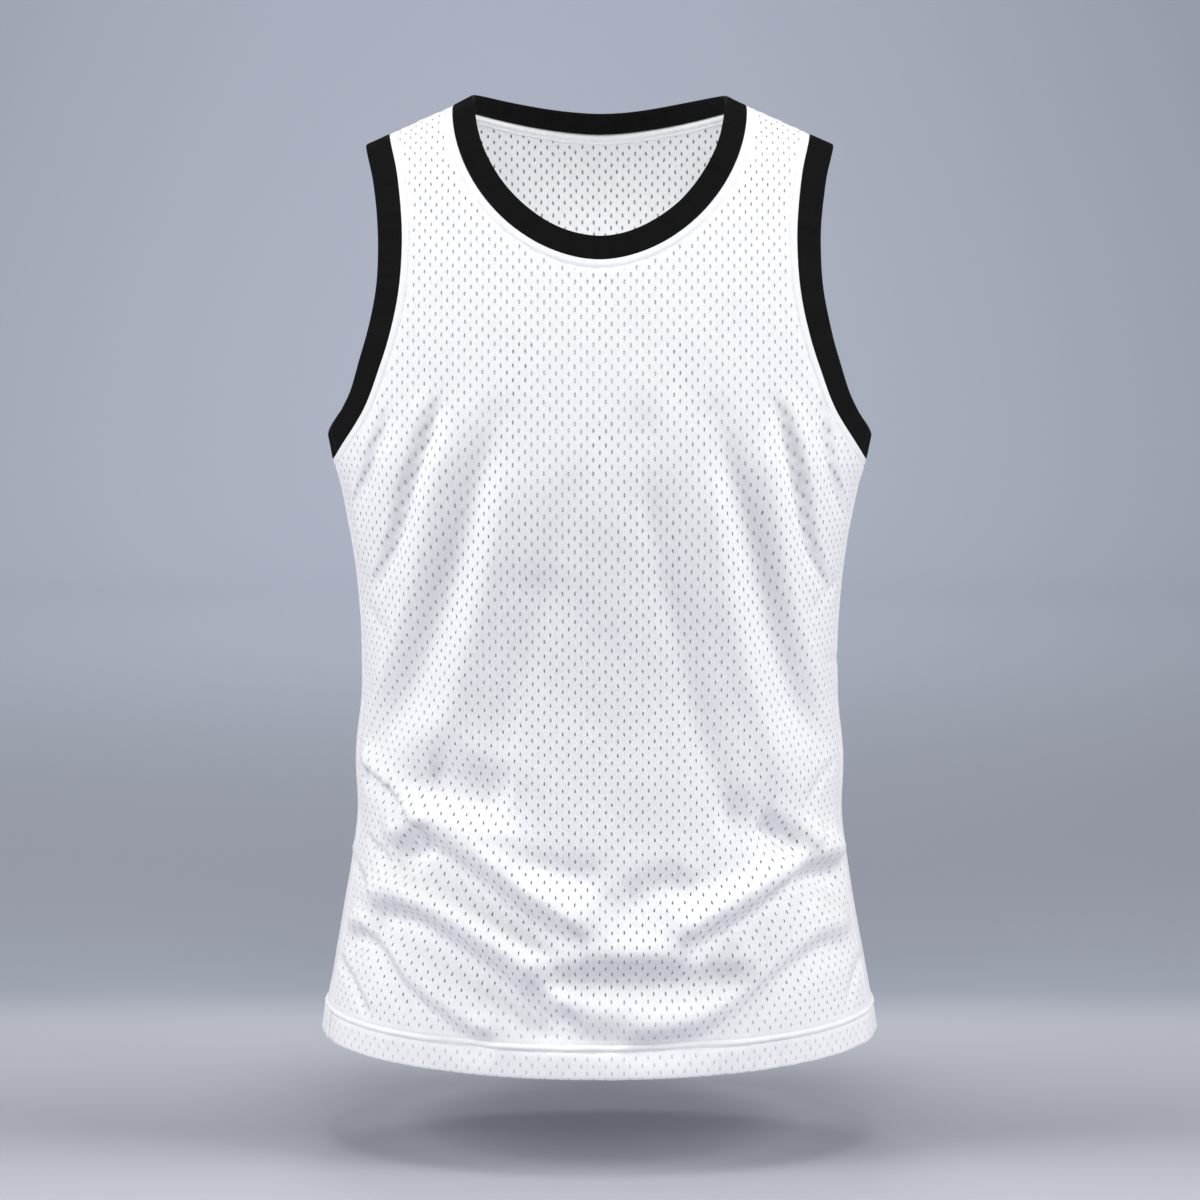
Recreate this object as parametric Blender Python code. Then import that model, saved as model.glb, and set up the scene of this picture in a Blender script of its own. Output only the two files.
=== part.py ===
"""Basketball practice jersey: white pin-hole mesh, black rib bindings at the neck and both armholes.

The garment keeps the shape it has when worn, with nobody in it. Sizes are in millimetres and become
metres when a mesh is made. +Z is up, the front faces -Y and the wearer's left side is at +X. The origin
lies halfway between the undersides of the two shoulder straps, where shoulders would carry them.

The cloth is one surface round the body. A point of it is named by an angle round the body (0 at the
centre front, 180 degrees at the centre back, positive on the wearer's left) and by its height.
"""
import math
from collections import namedtuple

import bmesh
import bpy
import numpy as np
from mathutils.geometry import delaunay_2d_cdt

MM = 0.001

# ---------------------------------------------------------------- driving sizes, millimetres

WALL = 1.2                  # thickness of the mesh cloth
GAP = 0.3                   # left between two pieces at a seam
HEM_BOTTOM = -698.0         # at the centre front and centre back
HEM_SIDE_RISE = 4.0         # the lower edge rises this much towards the side seams
HEM_HEIGHT = 26.0           # the turned-up double edge, with its raised roll
SIDE_SEAM_ANGLE = 76.0      # degrees round from the centre front
ARMPIT = -248.0             # height of the underarm point, at the side seam
SHOULDER_HALF = 157.5       # half width over the shoulder seams' outer ends
NECK_HALF = 109.0           # half width of the neck seam
SHOULDER_SLOPE = 0.446      # fall of the shoulder line for each millimetre outwards
NECK_DROP_FRONT = 109.5     # from the top of the neck seam down to its lowest point
NECK_DROP_BACK = 20.5
NECK_FRONT_POWER = 1.86     # 2 would be an ellipse
NECK_BACK_POWER = 1.7
NECK_BASE_RISE = 24.0       # how far the shoulder line would still rise to the middle of the neck
SEAM_PLANE = 10.0           # the shoulder and side lines lie this far behind the origin
FRONT_ROUND = 385.0         # height over which the front rounds forward from the shoulder line
BACK_ROUND = 250.0
NECK_BINDING_WIDTH = 17.2
ARMHOLE_BINDING_WIDTH = 19.2
TAPE_TOP = 1.6              # the back neck tape starts this far below the seam
TAPE_HEIGHT = 8.0
TAPE_WALL = 1.2
TAPE_REACH = 0.88           # share of the neck's half width that the tape covers
TAPE_GAP = 0.9              # between the tape and the cloth, whose flat facets cut its curve short

Section = namedtuple("Section", "height half_width front back power")
SECTIONS = (                # the body's cross-sections; front and back are depths from the origin,
    # and the power is the section's roundness, 2 for an ellipse and more for a squarer ring
    Section(-698, 214.0, 138, 128, 2.05),
    Section(-660, 208.0, 135, 125, 2.10),
    Section(-600, 196.5, 129, 119, 2.15),
    Section(-550, 188.5, 124, 114, 2.20),
    Section(-520, 185.0, 120, 110, 2.25),
    Section(-480, 186.0, 116, 107, 2.30),
    Section(-430, 181.5, 112, 104, 2.35),
    Section(-390, 181.0, 112, 104, 2.40),
    Section(-340, 184.0, 114, 106, 2.40),
    Section(-300, 190.0, 117, 109, 2.40),
    Section(-270, 196.0, 119, 111, 2.40),
    Section(-250, 201.0, 120, 112, 2.40),
    Section(-220, 203.0, 120, 113, 2.40),
    Section(40, 203.0, 114, 114, 2.40),
)

EdgePoint = namedtuple("EdgePoint", "half_width height")
ARMHOLE_FRONT = (           # between the shoulder seam and the underarm point
    EdgePoint(150.0, -40),
    EdgePoint(145.9, -87),
    EdgePoint(149.4, -130),
    EdgePoint(161.3, -175),
    EdgePoint(177.0, -214),
)
ARMHOLE_BACK = (
    EdgePoint(152.5, -42),
    EdgePoint(147.2, -89),
    EdgePoint(150.4, -135),
    EdgePoint(162.4, -180),
    EdgePoint(178.6, -218),
    EdgePoint(196.0, -241.5),
)

# A fold is a soft ridge (positive lift) or trough (negative lift) along a line on the cloth.
# Its points are (sideways, height); it fades out towards both ends.
Fold = namedtuple("Fold", "name lift reach line")
FRONT_FOLDS = (
    Fold("right underarm short trough", -4.0, 7, ((-159, -221), (-166, -239), (-173, -261), (-178, -274))),
    Fold("right underarm ridge", 3.0, 8, ((-144, -214), (-150, -238), (-164, -282), (-176, -325))),
    Fold("right second trough", -6.5, 10, ((-121, -210), (-138, -259), (-146, -290), (-163, -335))),
    Fold("right second ridge", 5.5, 10, ((-105, -207), (-119, -258), (-137, -330), (-156, -390), (-172, -440))),
    Fold("right long trough", -8.5, 15, ((-78, -212), (-93, -257), (-108, -317), (-128, -378), (-155, -435),
                                         (-170, -454))),
    Fold("right long ridge", 6.5, 14, ((-64, -227), (-75, -301), (-94, -376), (-114, -438), (-146, -464))),
    Fold("right broad hollow", -5.0, 30, ((-40, -315), (-54, -375), (-69, -420), (-90, -466))),
    Fold("right hollow foot", -6.0, 10, ((-141, -489), (-126, -482), (-107, -486), (-72, -496))),
    Fold("right waist crease", -3.0, 6, ((-178, -486), (-156, -498), (-134, -521))),
    Fold("right hip trough", -7.5, 11, ((-153, -543), (-128, -533), (-92, -553), (-48, -583), (-15, -602))),
    Fold("belly ridge", 6.0, 15, ((-130, -508), (-90, -530), (-45, -562), (-8, -586), (22, -600), (50, -596),
                                  (80, -580), (118, -560), (165, -541))),
    Fold("belly trough right", -3.5, 10, ((-59, -545), (-30, -547), (0, -548))),
    Fold("belly trough left", -3.5, 11, ((66, -557), (40, -557), (18, -569))),
    Fold("left hip trough", -6.5, 10, ((183, -561), (151, -560), (118, -580), (67, -606))),
    Fold("left hollow foot", -5.5, 10, ((150, -534), (135, -524), (122, -513))),
    Fold("left broad hollow", -5.0, 26, ((38, -234), (49, -308), (68, -397), (94, -487), (103, -517))),
    Fold("left long ridge", 6.5, 14, ((76, -228), (85, -305), (101, -384), (122, -445), (144, -500))),
    Fold("left long trough", -7.5, 13, ((88, -212), (102, -261), (116, -318), (132, -379), (154, -436),
                                        (170, -459))),
    Fold("left second ridge", 5.0, 10, ((116, -213), (127, -270), (141, -338), (161, -406), (171, -437))),
    Fold("left second trough", -5.0, 9, ((133, -214), (144, -263), (156, -314), (166, -335))),
    Fold("left underarm ridge", 3.0, 8, ((147, -214), (159, -268), (173, -316))),
    Fold("left underarm short trough", -4.0, 7, ((164, -218), (172, -258), (178, -282))),
    Fold("lower middle trough", -6.0, 13, ((-48, -628), (0, -628), (40, -629), (73, -630), (109, -627))),
    Fold("right swag trough", -7.0, 11, ((-167, -589), (-138, -588), (-96, -610), (-56, -638), (-11, -667),
                                         (33, -674))),
    Fold("left swag trough", -5.0, 10, ((33, -674), (73, -669), (111, -646), (155, -616), (189, -616))),
    Fold("right swag ridge", 5.0, 11, ((-149, -568), (-96, -583), (-41, -609))),
    Fold("middle swag ridge", 3.0, 10, ((-19, -640), (14, -648), (59, -648), (103, -634))),
    Fold("right corner trough", -5.0, 8, ((-190, -612), (-168, -611), (-142, -640), (-83, -672))),
    Fold("right corner ridge", 3.5, 9, ((-161, -600), (-111, -631), (-82, -647))),
    Fold("left corner ridge", 4.0, 13, ((176, -577), (118, -594), (88, -609))),
)
BACK_FOLDS = (              # on the hidden side, named by the wearer's side as well
    Fold("left underarm trough", -5.0, 10, ((158, -222), (160, -268), (170, -318))),
    Fold("left underarm ridge", 4.0, 10, ((134, -205), (142, -268), (160, -345))),
    Fold("left long trough", -7.5, 14, ((106, -190), (112, -262), (130, -345), (158, -424))),
    Fold("left long ridge", 5.5, 15, ((80, -215), (90, -300), (112, -392), (146, -456))),
    Fold("left broad hollow", -4.5, 28, ((48, -250), (56, -340), (78, -440), (104, -494))),
    Fold("right underarm trough", -4.5, 9, ((-156, -226), (-161, -270), (-171, -330))),
    Fold("right underarm ridge", 4.5, 11, ((-138, -208), (-140, -262), (-158, -352))),
    Fold("right long trough", -7.0, 13, ((-98, -196), (-108, -282), (-131, -372), (-164, -438))),
    Fold("right long ridge", 5.5, 13, ((-70, -222), (-84, -318), (-108, -402), (-150, -470))),
    Fold("right broad hollow", -4.5, 30, ((-36, -272), (-48, -352), (-72, -432), (-98, -480))),
    Fold("small of the back ridge", 5.5, 16, ((-150, -508), (-92, -528), (-22, -562), (44, -566), (110, -540),
                                              (160, -514))),
    Fold("left hip trough", -8.0, 10, ((176, -540), (124, -548), (72, -580), (26, -600))),
    Fold("right hip trough", -8.0, 9, ((-178, -548), (-136, -552), (-84, -584), (-40, -602))),
    Fold("middle lower trough", -6.0, 12, ((-62, -636), (-8, -630), (60, -632))),
    Fold("left swag trough", -6.0, 10, ((186, -588), (132, -606), (78, -642), (20, -668))),
    Fold("right swag trough", -6.5, 10, ((-180, -600), (-128, -616), (-74, -652), (-14, -672))),
    Fold("left corner ridge", 3.5, 12, ((172, -572), (112, -592), (70, -622))),
    Fold("right corner ridge", 4.0, 12, ((-170, -578), (-114, -600), (-66, -632))),
)
FOLD_FADE = 0.22            # share of a fold's length over which each end fades
FOLD_END = 0.25             # share of the lift that is left at the very end

SectionPoint = namedtuple("SectionPoint", "across lift")
BINDING_SECTION = (         # folded rib: across as a share of its width, lift in millimetres
    SectionPoint(0.00, 0.95),
    SectionPoint(0.10, 1.35),
    SectionPoint(0.50, 1.20),
    SectionPoint(0.92, 1.30),
    SectionPoint(1.00, 0.10),
    SectionPoint(0.92, -1.10),
    SectionPoint(0.50, -1.05),
    SectionPoint(0.00, -1.05),
)
HemPoint = namedtuple("HemPoint", "drop lift")
HEM_SECTION = (             # round the doubled edge: down its outside, over the roll, and up its plain inside
    HemPoint(0.15, 0.70),
    HemPoint(2.0, 2.00),
    HemPoint(4.5, 2.50),
    HemPoint(7.0, 1.90),
    HemPoint(8.8, 0.60),
    HemPoint(12.0, 1.05),
    HemPoint(24.5, 1.05),
    HemPoint(26.0, -0.10),
    HemPoint(24.5, -1.25),
    HemPoint(0.15, -1.25),
)

Mesh = namedtuple("Mesh", "spacing hem side armhole shoulder neck")   # spacing of points, then counts
FRONT_MESH = Mesh(spacing=16.5, hem=18, side=24, armhole=18, shoulder=3, neck=14)
BACK_MESH = Mesh(spacing=20.0, hem=16, side=24, armhole=16, shoulder=3, neck=13)
EDGE_CLEARANCE = 0.55       # inner points keep this share of the spacing from a panel's edge
GUIDE_CLEARANCE = 0.5       # and this share from the points along the neck tape
GIRTH_STEPS = 48            # straight steps in which a girth is measured
TURN_STATIONS = 120         # angles between which a lattice point's own angle is found
CURVE_STEPS = 200           # points read from an edge's curve before it is evenly divided
FOLD_STEPS = 4              # straight steps for each leg of a fold's line
TURN_STEP = 0.002           # radians and millimetres to each side, for a surface's direction
RISE_STEP = 0.4
INSIDE_ONLY = 1             # the triangulation keeps only what lies inside the outline
MERGE_LIMIT = 1e-4
SHARP_ANGLE = 65.0          # degrees between faces, above which an edge is shaded sharp

SIDE_SEAM = math.radians(SIDE_SEAM_ANGLE)
HEM_TOP = HEM_BOTTOM + HEM_HEIGHT
STRAP_MIDDLE = (NECK_HALF + SHOULDER_HALF) / 2
NECK_TOP = WALL + SHOULDER_SLOPE * (STRAP_MIDDLE - NECK_HALF)


# ---------------------------------------------------------------- curves and the cloth's surface

def smooth_through(knots, values, at):
    """A smooth curve through the knots: cubic pieces whose slopes are the mean of their neighbours'."""
    knots = np.asarray(knots, float)
    values = np.asarray(values, float)
    slopes = np.gradient(values, knots)
    at = np.clip(np.asarray(at, float), knots[0], knots[-1])
    i = np.clip(np.searchsorted(knots, at, side="right") - 1, 0, len(knots) - 2)
    span = knots[i + 1] - knots[i]
    t = (at - knots[i]) / span
    return ((2 * t**3 - 3 * t**2 + 1) * values[i] + (t**3 - 2 * t**2 + t) * span * slopes[i]
            + (3 * t**2 - 2 * t**3) * values[i + 1] + (t**3 - t**2) * span * slopes[i + 1])


def section_size(field, height):
    """Half width, front depth or back depth of the body at each height."""
    heights = [row.height for row in SECTIONS]
    return smooth_through(heights, [getattr(row, field) for row in SECTIONS], height)


def shoulder_line(x):
    """Height of the shoulder line: straight along the strap, a parabola inside the neck."""
    x = np.abs(x)
    strap = NECK_TOP - SHOULDER_SLOPE * (x - NECK_HALF)
    inside = NECK_TOP + NECK_BASE_RISE * (1 - (x / NECK_HALF) ** 2)
    return np.where(x > NECK_HALF, strap, inside)


def ring_shares(angle, power):
    """Where a ray at this angle meets the rounded section, as shares of half width and depth."""
    s = np.abs(np.sin(angle))
    c = np.cos(angle)
    size = (s**power + np.abs(c) ** power) ** (1 / power)
    return s / size, c / size


def angle_at(x, height):
    """The angle, 0 to 90 degrees, at which the section at this height is x wide."""
    power = section_size("power", height)
    share = np.clip(np.abs(x) / section_size("half_width", height), 0, 0.99999) ** power
    return np.arctan((share / (1 - share)) ** (1 / power))


def body_point(angle, height):
    """The smooth body form: a rounded section, whose depth rounds over to nothing at the shoulder line."""
    across, along = ring_shares(angle, section_size("power", height))
    x = section_size("half_width", height) * across * np.sign(np.sin(angle))
    below = shoulder_line(x) - height
    left = 1 - np.clip(below / np.where(along > 0, FRONT_ROUND, BACK_ROUND), 0, 1)
    depth = np.where(along > 0, section_size("front", height) + SEAM_PLANE,
                     section_size("back", height) - SEAM_PLANE) * np.sqrt(1 - left**2)
    return np.stack([x, SEAM_PLANE - depth * along, height + 0 * x], axis=-1)


def girth(angle, height, from_back):
    """Signed length round the section from the centre front, or from the centre back."""
    turn = np.sign(np.sin(angle))
    start = np.pi if from_back else 0.0
    share = np.linspace(0, 1, GIRTH_STEPS + 1)
    angles = start + (np.abs(angle)[..., None] - start) * share
    across, along = ring_shares(angles, section_size("power", height)[..., None])
    x = section_size("half_width", height)[..., None] * across
    depth = np.where(along > 0, (section_size("front", height) + SEAM_PLANE)[..., None],
                     (section_size("back", height) - SEAM_PLANE)[..., None])
    y = depth * along
    return turn * np.hypot(np.diff(x), np.diff(y)).sum(axis=-1)


def fold_lift(angle, height, folds, from_back):
    """Sum of the folds: each is a bell across its line, and fades along it towards both ends."""
    round_body = girth(angle, height, from_back)
    lift = np.zeros_like(round_body)
    for fold in folds:
        points = np.array(fold.line, float)
        legs = np.hypot(*np.diff(points, axis=0).T)
        knots = np.concatenate([[0], np.cumsum(legs)])
        path = np.linspace(0, knots[-1], FOLD_STEPS * len(legs) + 1)
        x = smooth_through(knots, points[:, 0], path)
        z = smooth_through(knots, points[:, 1], path)
        around = np.sign(x) * angle_at(x, z)
        if from_back:
            around = np.where(around < 0, -np.pi, np.pi) - around
        line = np.stack([girth(around, z, from_back), z], axis=-1)
        nearest = np.full(lift.shape, np.inf)
        where = np.zeros(lift.shape)
        for i in range(len(line) - 1):
            leg = line[i + 1] - line[i]
            to_x = round_body - line[i, 0]
            to_z = height - line[i, 1]
            t = np.clip((to_x * leg[0] + to_z * leg[1]) / (leg @ leg), 0, 1)
            distance = np.hypot(to_x - t * leg[0], to_z - t * leg[1])
            closer = distance < nearest
            nearest = np.where(closer, distance, nearest)
            where = np.where(closer, (i + t) / (len(line) - 1), where)
        ends = np.clip(np.minimum(where, 1 - where) / FOLD_FADE, 0, 1)
        strength = FOLD_END + (1 - FOLD_END) * ends * ends * (3 - 2 * ends)
        lift = lift + fold.lift * strength * np.exp(-((nearest / fold.reach) ** 2))
    return lift


def surface_normal(surface, angle, height):
    """Outward direction of a surface, from points a little to each side."""
    around = surface(angle + TURN_STEP, height) - surface(angle - TURN_STEP, height)
    upward = surface(angle, height + RISE_STEP) - surface(angle, height - RISE_STEP)
    normal = np.cross(around, upward)
    return normal / np.linalg.norm(normal, axis=-1, keepdims=True)


def cloth_point(angle, height):
    """A point of the folded cloth: the body form pushed outwards or inwards by the folds."""
    lift = (fold_lift(angle, height, FRONT_FOLDS, False) + fold_lift(angle, height, BACK_FOLDS, True))
    push = surface_normal(body_point, angle, height) * lift[..., None]
    return body_point(angle, height) + push


def cloth(angle, height):
    """Points of the cloth's middle layer with their outward directions, in millimetres."""
    points = cloth_point(angle, height)
    normals = surface_normal(cloth_point, angle, height)
    on_shoulder = height > shoulder_line(points[..., 0]) - 0.5
    side = np.where(points[..., 0] < 0, -1, 1)
    up = np.stack([side * SHOULDER_SLOPE, 0 * side, 1 + 0 * side], axis=-1) / math.hypot(1, SHOULDER_SLOPE)
    return points, np.where(on_shoulder[..., None], up, normals)


def hem_height(angle):
    """Height of the hem's upper line, which rises a little towards the side seams."""
    return HEM_TOP + HEM_SIDE_RISE * np.sin(angle) ** 2


# ---------------------------------------------------------------- edges of the panels, as (angle, height)

def even_spacing(points, count):
    """Points at equal steps along a densely sampled line on the cloth."""
    place = body_point(points[:, 0], points[:, 1])
    run = np.concatenate([[0], np.cumsum(np.linalg.norm(np.diff(place, axis=0), axis=1))])
    at = np.linspace(0, run[-1], count + 1)
    return np.stack([np.interp(at, run, points[:, 0]), np.interp(at, run, points[:, 1])], axis=1)


def half_angle(x, height, back):
    """Angle of a point on the wearer's left half, on the front or on the back."""
    angle = angle_at(x, height)
    return np.pi - angle if back else angle


def neck_edge(back, count):
    """Neck seam from the centre to the top of the shoulder, a rounded U in front and a shallow curve behind."""
    if back:
        share = np.linspace(0, 1, CURVE_STEPS)
        x = NECK_HALF * share
        height = NECK_TOP - NECK_DROP_BACK * (1 - share**NECK_BACK_POWER)
    else:
        turn = np.linspace(np.pi / 2, 0, CURVE_STEPS)
        x = NECK_HALF * np.abs(np.cos(turn)) ** (2 / NECK_FRONT_POWER)
        height = NECK_TOP - NECK_DROP_FRONT * np.sin(turn) ** (2 / NECK_FRONT_POWER)
    return even_spacing(np.stack([half_angle(x, height, back), height], axis=1), count)


def shoulder_edge(back, count):
    """Shoulder seam, a straight line from the neck to the armhole."""
    x = np.linspace(NECK_HALF, SHOULDER_HALF, count + 1)
    height = shoulder_line(x)
    return np.stack([half_angle(x, height, back), height], axis=1)


def armhole_edge(back, count):
    """Armhole seam from the underarm point up to the shoulder.

    One smooth curve runs through the points of both panels, so it passes the underarm without a corner.
    """
    top = [EdgePoint(SHOULDER_HALF, float(shoulder_line(SHOULDER_HALF)))]
    front = np.array(top + list(ARMHOLE_FRONT))
    behind = np.array(list(ARMHOLE_BACK[::-1]) + top)
    angle = np.concatenate([half_angle(*front.T, False), [SIDE_SEAM], half_angle(*behind.T, True)])
    height = np.concatenate([front[:, 1], [ARMPIT], behind[:, 1]])
    place = body_point(angle, height)
    knots = np.concatenate([[0], np.cumsum(np.linalg.norm(np.diff(place, axis=0), axis=1))])
    underarm = knots[len(front)]
    at = np.linspace(underarm, knots[-1] if back else 0, CURVE_STEPS)
    line = np.stack([smooth_through(knots, angle, at), smooth_through(knots, height, at)], axis=1)
    return even_spacing(line, count)


def mirrored(line):
    """The same places on the wearer's right half."""
    return line * [-1, 1]


def hem_angles(back):
    """Stations along the hem from the centre to the side seam."""
    return np.linspace(np.pi if back else 0.0, SIDE_SEAM, mesh_of(back).hem + 1)


def mesh_of(back):
    return BACK_MESH if back else FRONT_MESH


def outline(back):
    """Outline of a panel, anticlockwise seen from outside: hem, side seam, armhole, shoulder, neck and back."""
    size = mesh_of(back)
    across = hem_angles(back)
    hem_line = np.stack([across, hem_height(across)], axis=1)
    seam = np.linspace(hem_line[-1], [SIDE_SEAM, ARMPIT], size.side + 1)
    armhole = armhole_edge(back, size.armhole)
    shoulder = shoulder_edge(back, size.shoulder)[::-1]
    neck = neck_edge(back, size.neck)[::-1]
    half = np.concatenate([hem_line, seam[1:], armhole[1:], shoulder[1:], neck[1:]])
    first, second = (mirrored(half), half) if back else (half, mirrored(half))
    return np.concatenate([first, second[-2:0:-1]])


def flat_places(line, back):
    """Points given by angle and height, on a flat sheet as seen from outside: girth and height."""
    side = -1 if back else 1
    return np.stack([side * girth(line[:, 0], line[:, 1], back), line[:, 1]], axis=1)


def inner_places(edge, back):
    """Angle and height of a triangular lattice of points, clear of the panel's edge."""
    spacing = mesh_of(back).spacing
    rows = np.arange(HEM_TOP, NECK_TOP, spacing * math.sqrt(3) / 2)
    turns = np.linspace(np.pi if back else 0.0, SIDE_SEAM, TURN_STATIONS)
    found = []
    for number, height in enumerate(rows):
        reach = np.abs(girth(turns, np.full_like(turns, height), back))
        reach[0] = 0.0
        most = int(reach[-1] / spacing) + 1
        across = (np.arange(-most, most + 1) + 0.5 * (number % 2)) * spacing
        across = across[np.abs(across) < reach[-1]]
        turn = np.interp(np.abs(across), reach, turns)
        side = np.where(across < 0, -1, 1) * (-1 if back else 1)
        found.append(np.stack([side * turn, np.full_like(across, height), across], axis=1))
    found = np.concatenate(found)
    place = found[:, [2, 1]]
    leg = np.roll(edge, -1, axis=0) - edge
    to_place = place[:, None] - edge[None]
    share = np.clip(np.sum(to_place * leg, axis=-1) / np.sum(leg * leg, axis=-1), 0, 1)
    clear = np.linalg.norm(to_place - share[..., None] * leg, axis=-1).min(axis=1) > EDGE_CLEARANCE * spacing
    rising = (edge[:, 1] > place[:, 1:]) != (np.roll(edge[:, 1], -1) > place[:, 1:])
    flat_leg = np.where(leg[:, 1] == 0, 1, leg[:, 1])
    crossing = edge[:, 0] + (place[:, 1:] - edge[:, 1]) * leg[:, 0] / flat_leg
    inside = np.sum(rising & (place[:, :1] < crossing), axis=1) % 2 == 1
    return found[clear & inside, :2]


def below_neck(drop):
    """Points of the back panel on a line parallel to its neck edge, as far as the neck tape reaches."""
    half = neck_edge(True, BACK_MESH.neck)
    x = body_point(half[:, 0], half[:, 1])[:, 0]
    x = x[x < TAPE_REACH * NECK_HALF]
    x = np.concatenate([-x[::-1], x[1:]])
    height = NECK_TOP - NECK_DROP_BACK * (1 - np.abs(x / NECK_HALF) ** NECK_BACK_POWER) - drop
    return np.stack([np.where(x < 0, -1, 1) * half_angle(x, height, True), height], axis=1)


def panel_net(back):
    """A panel's points (angle, height), its outline first, and the triangles between them."""
    rim = outline(back)
    edge = flat_places(rim, back)
    inner = inner_places(edge, back)
    if back:
        guide = below_neck(TAPE_TOP + TAPE_HEIGHT)
        apart = np.linalg.norm(flat_places(inner, back)[:, None] - flat_places(guide, back)[None], axis=-1)
        inner = np.concatenate([guide, inner[apart.min(axis=1) > GUIDE_CLEARANCE * BACK_MESH.spacing]])
    places = np.concatenate([edge, flat_places(inner, back)])
    legs = [(i, (i + 1) % len(rim)) for i in range(len(rim))]
    net = delaunay_2d_cdt(places.tolist(), legs, [], INSIDE_ONLY, MERGE_LIMIT)
    source = [origin[0] for origin in net[3]]
    triangles = [[source[corner] for corner in face] for face in net[2]]
    return np.concatenate([rim, inner]), len(rim), triangles


# ---------------------------------------------------------------- solids

def material(name, colour, roughness):
    made = bpy.data.materials.new(name)
    made.use_nodes = True
    shader = made.node_tree.nodes["Principled BSDF"]
    shader.inputs["Base Color"].default_value = (*colour, 1)
    shader.inputs["Roughness"].default_value = roughness
    shader.inputs["Metallic"].default_value = 0
    return made


def add_object(name, points, faces, finish):
    """A mesh object from points in millimetres, its faces turned outwards."""
    mesh = bpy.data.meshes.new(name)
    mesh.from_pydata((np.asarray(points).reshape(-1, 3) * MM).tolist(), [], faces)
    build = bmesh.new()
    build.from_mesh(mesh)
    bmesh.ops.recalc_face_normals(build, faces=build.faces)
    build.to_mesh(mesh)
    build.free()
    mesh.shade_smooth()
    mesh.set_sharp_from_angle(angle=math.radians(SHARP_ANGLE))
    mesh.materials.append(finish)
    made = bpy.data.objects.new(name, mesh)
    bpy.context.collection.objects.link(made)
    return made


def trim_edge(points, normals, rim):
    """Draw the outline in by half a seam gap, square to the edge and mitred at its corners."""
    edge = points[:rim]
    inwards = []
    for leg in (edge - np.roll(edge, 1, axis=0), np.roll(edge, -1, axis=0) - edge):
        square = np.cross(normals[:rim], leg)
        inwards.append(square / np.linalg.norm(square, axis=-1, keepdims=True))
    turn = np.sum(inwards[0] * inwards[1], axis=-1, keepdims=True)
    trimmed = points.copy()
    trimmed[:rim] += (inwards[0] + inwards[1]) / (1 + turn) * GAP / 2
    return trimmed


def loft(name, rings, closed, finish):
    """A solid through rings of points; an open run of rings is capped at both ends."""
    count, around = rings.shape[:2]
    index = np.arange(count * around).reshape(count, around)
    if closed:
        index = np.concatenate([index, index[:1]])
    beside = np.roll(index, -1, axis=1)
    faces = np.stack([index[:-1], beside[:-1], beside[1:], index[1:]], axis=-1).reshape(-1, 4).tolist()
    if not closed:
        faces += [index[0][::-1].tolist(), index[-1].tolist()]
    return add_object(name, rings, faces, finish)


def panel(name, back, finish):
    """Front or back: the cut piece of mesh cloth as a closed wall on the folded surface."""
    places, rim, triangles = panel_net(back)
    points, normals = cloth(places[:, 0], places[:, 1])
    points = trim_edge(points, normals, rim)
    count = len(points)
    faces = list(triangles)
    faces += [[corner + count for corner in face[::-1]] for face in triangles]
    for i in range(rim):
        after = (i + 1) % rim
        faces.append([i, i + count, after + count, after])
    walls = np.concatenate([points + normals * WALL / 2, points - normals * WALL / 2])
    return add_object(name, walls, faces, finish)


def hem(name, back, finish):
    """The doubled lower edge of a panel, with the raised roll along its top."""
    half = hem_angles(back)
    angles = np.concatenate([half[::-1], -half[1:]])
    drops = np.array([point.drop for point in HEM_SECTION])
    lifts = np.array([point.lift for point in HEM_SECTION])
    angle, drop = np.meshgrid(angles, drops, indexing="ij")
    points, normals = cloth(angle, hem_height(angle) - drop)
    rings = points + normals * lifts[None, :, None]
    for edge, inner in ((0, 1), (-1, -2)):
        inwards = rings[inner] - rings[edge]
        inwards /= np.linalg.norm(inwards, axis=-1, keepdims=True)
        rings[edge] += inwards * GAP / 2
    return loft(name, rings, False, finish)


def evened(vectors):
    """Average directions with their neighbours round a closed loop, and make them unit length again."""
    for _ in range(2):
        vectors = np.roll(vectors, 1, axis=0) + 2 * vectors + np.roll(vectors, -1, axis=0)
        vectors /= np.linalg.norm(vectors, axis=-1, keepdims=True)
    return vectors


def binding(name, loop, width, finish):
    """A folded rib band on a closed seam line, standing on into the opening along the cloth's own slope.

    At the seam it is square to the cloth's edge; further out its directions are evened along the loop.
    """
    points, normals = cloth(loop[:, 0], loop[:, 1])
    forward = np.roll(points, -1, axis=0) - np.roll(points, 1, axis=0)
    away = np.cross(forward, normals)
    away /= np.linalg.norm(away, axis=-1, keepdims=True)
    if np.sum(away * (points.mean(axis=0) - points)) < 0:
        away = -away
    seam = points + away * GAP / 2
    outward = evened(normals)
    spread = evened(away)
    rings = []
    for place in BINDING_SECTION:
        up = normals if place.across == 0 else outward
        rings.append(seam + spread * place.across * width + up * place.lift)
    return loft(name, np.stack(rings, axis=1), True, finish)


def neck_loop():
    """The whole neck seam, once round."""
    front = neck_edge(False, FRONT_MESH.neck)
    back = neck_edge(True, BACK_MESH.neck)
    return np.concatenate([front, back[-2:0:-1], mirrored(back)[:-1], mirrored(front)[:0:-1]])


def armhole_loop(left):
    """One whole armhole seam, once round."""
    front = armhole_edge(False, FRONT_MESH.armhole)
    back = armhole_edge(True, BACK_MESH.armhole)
    loop = np.concatenate([front, back[-2:0:-1]])
    return loop if left else mirrored(loop)


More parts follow.
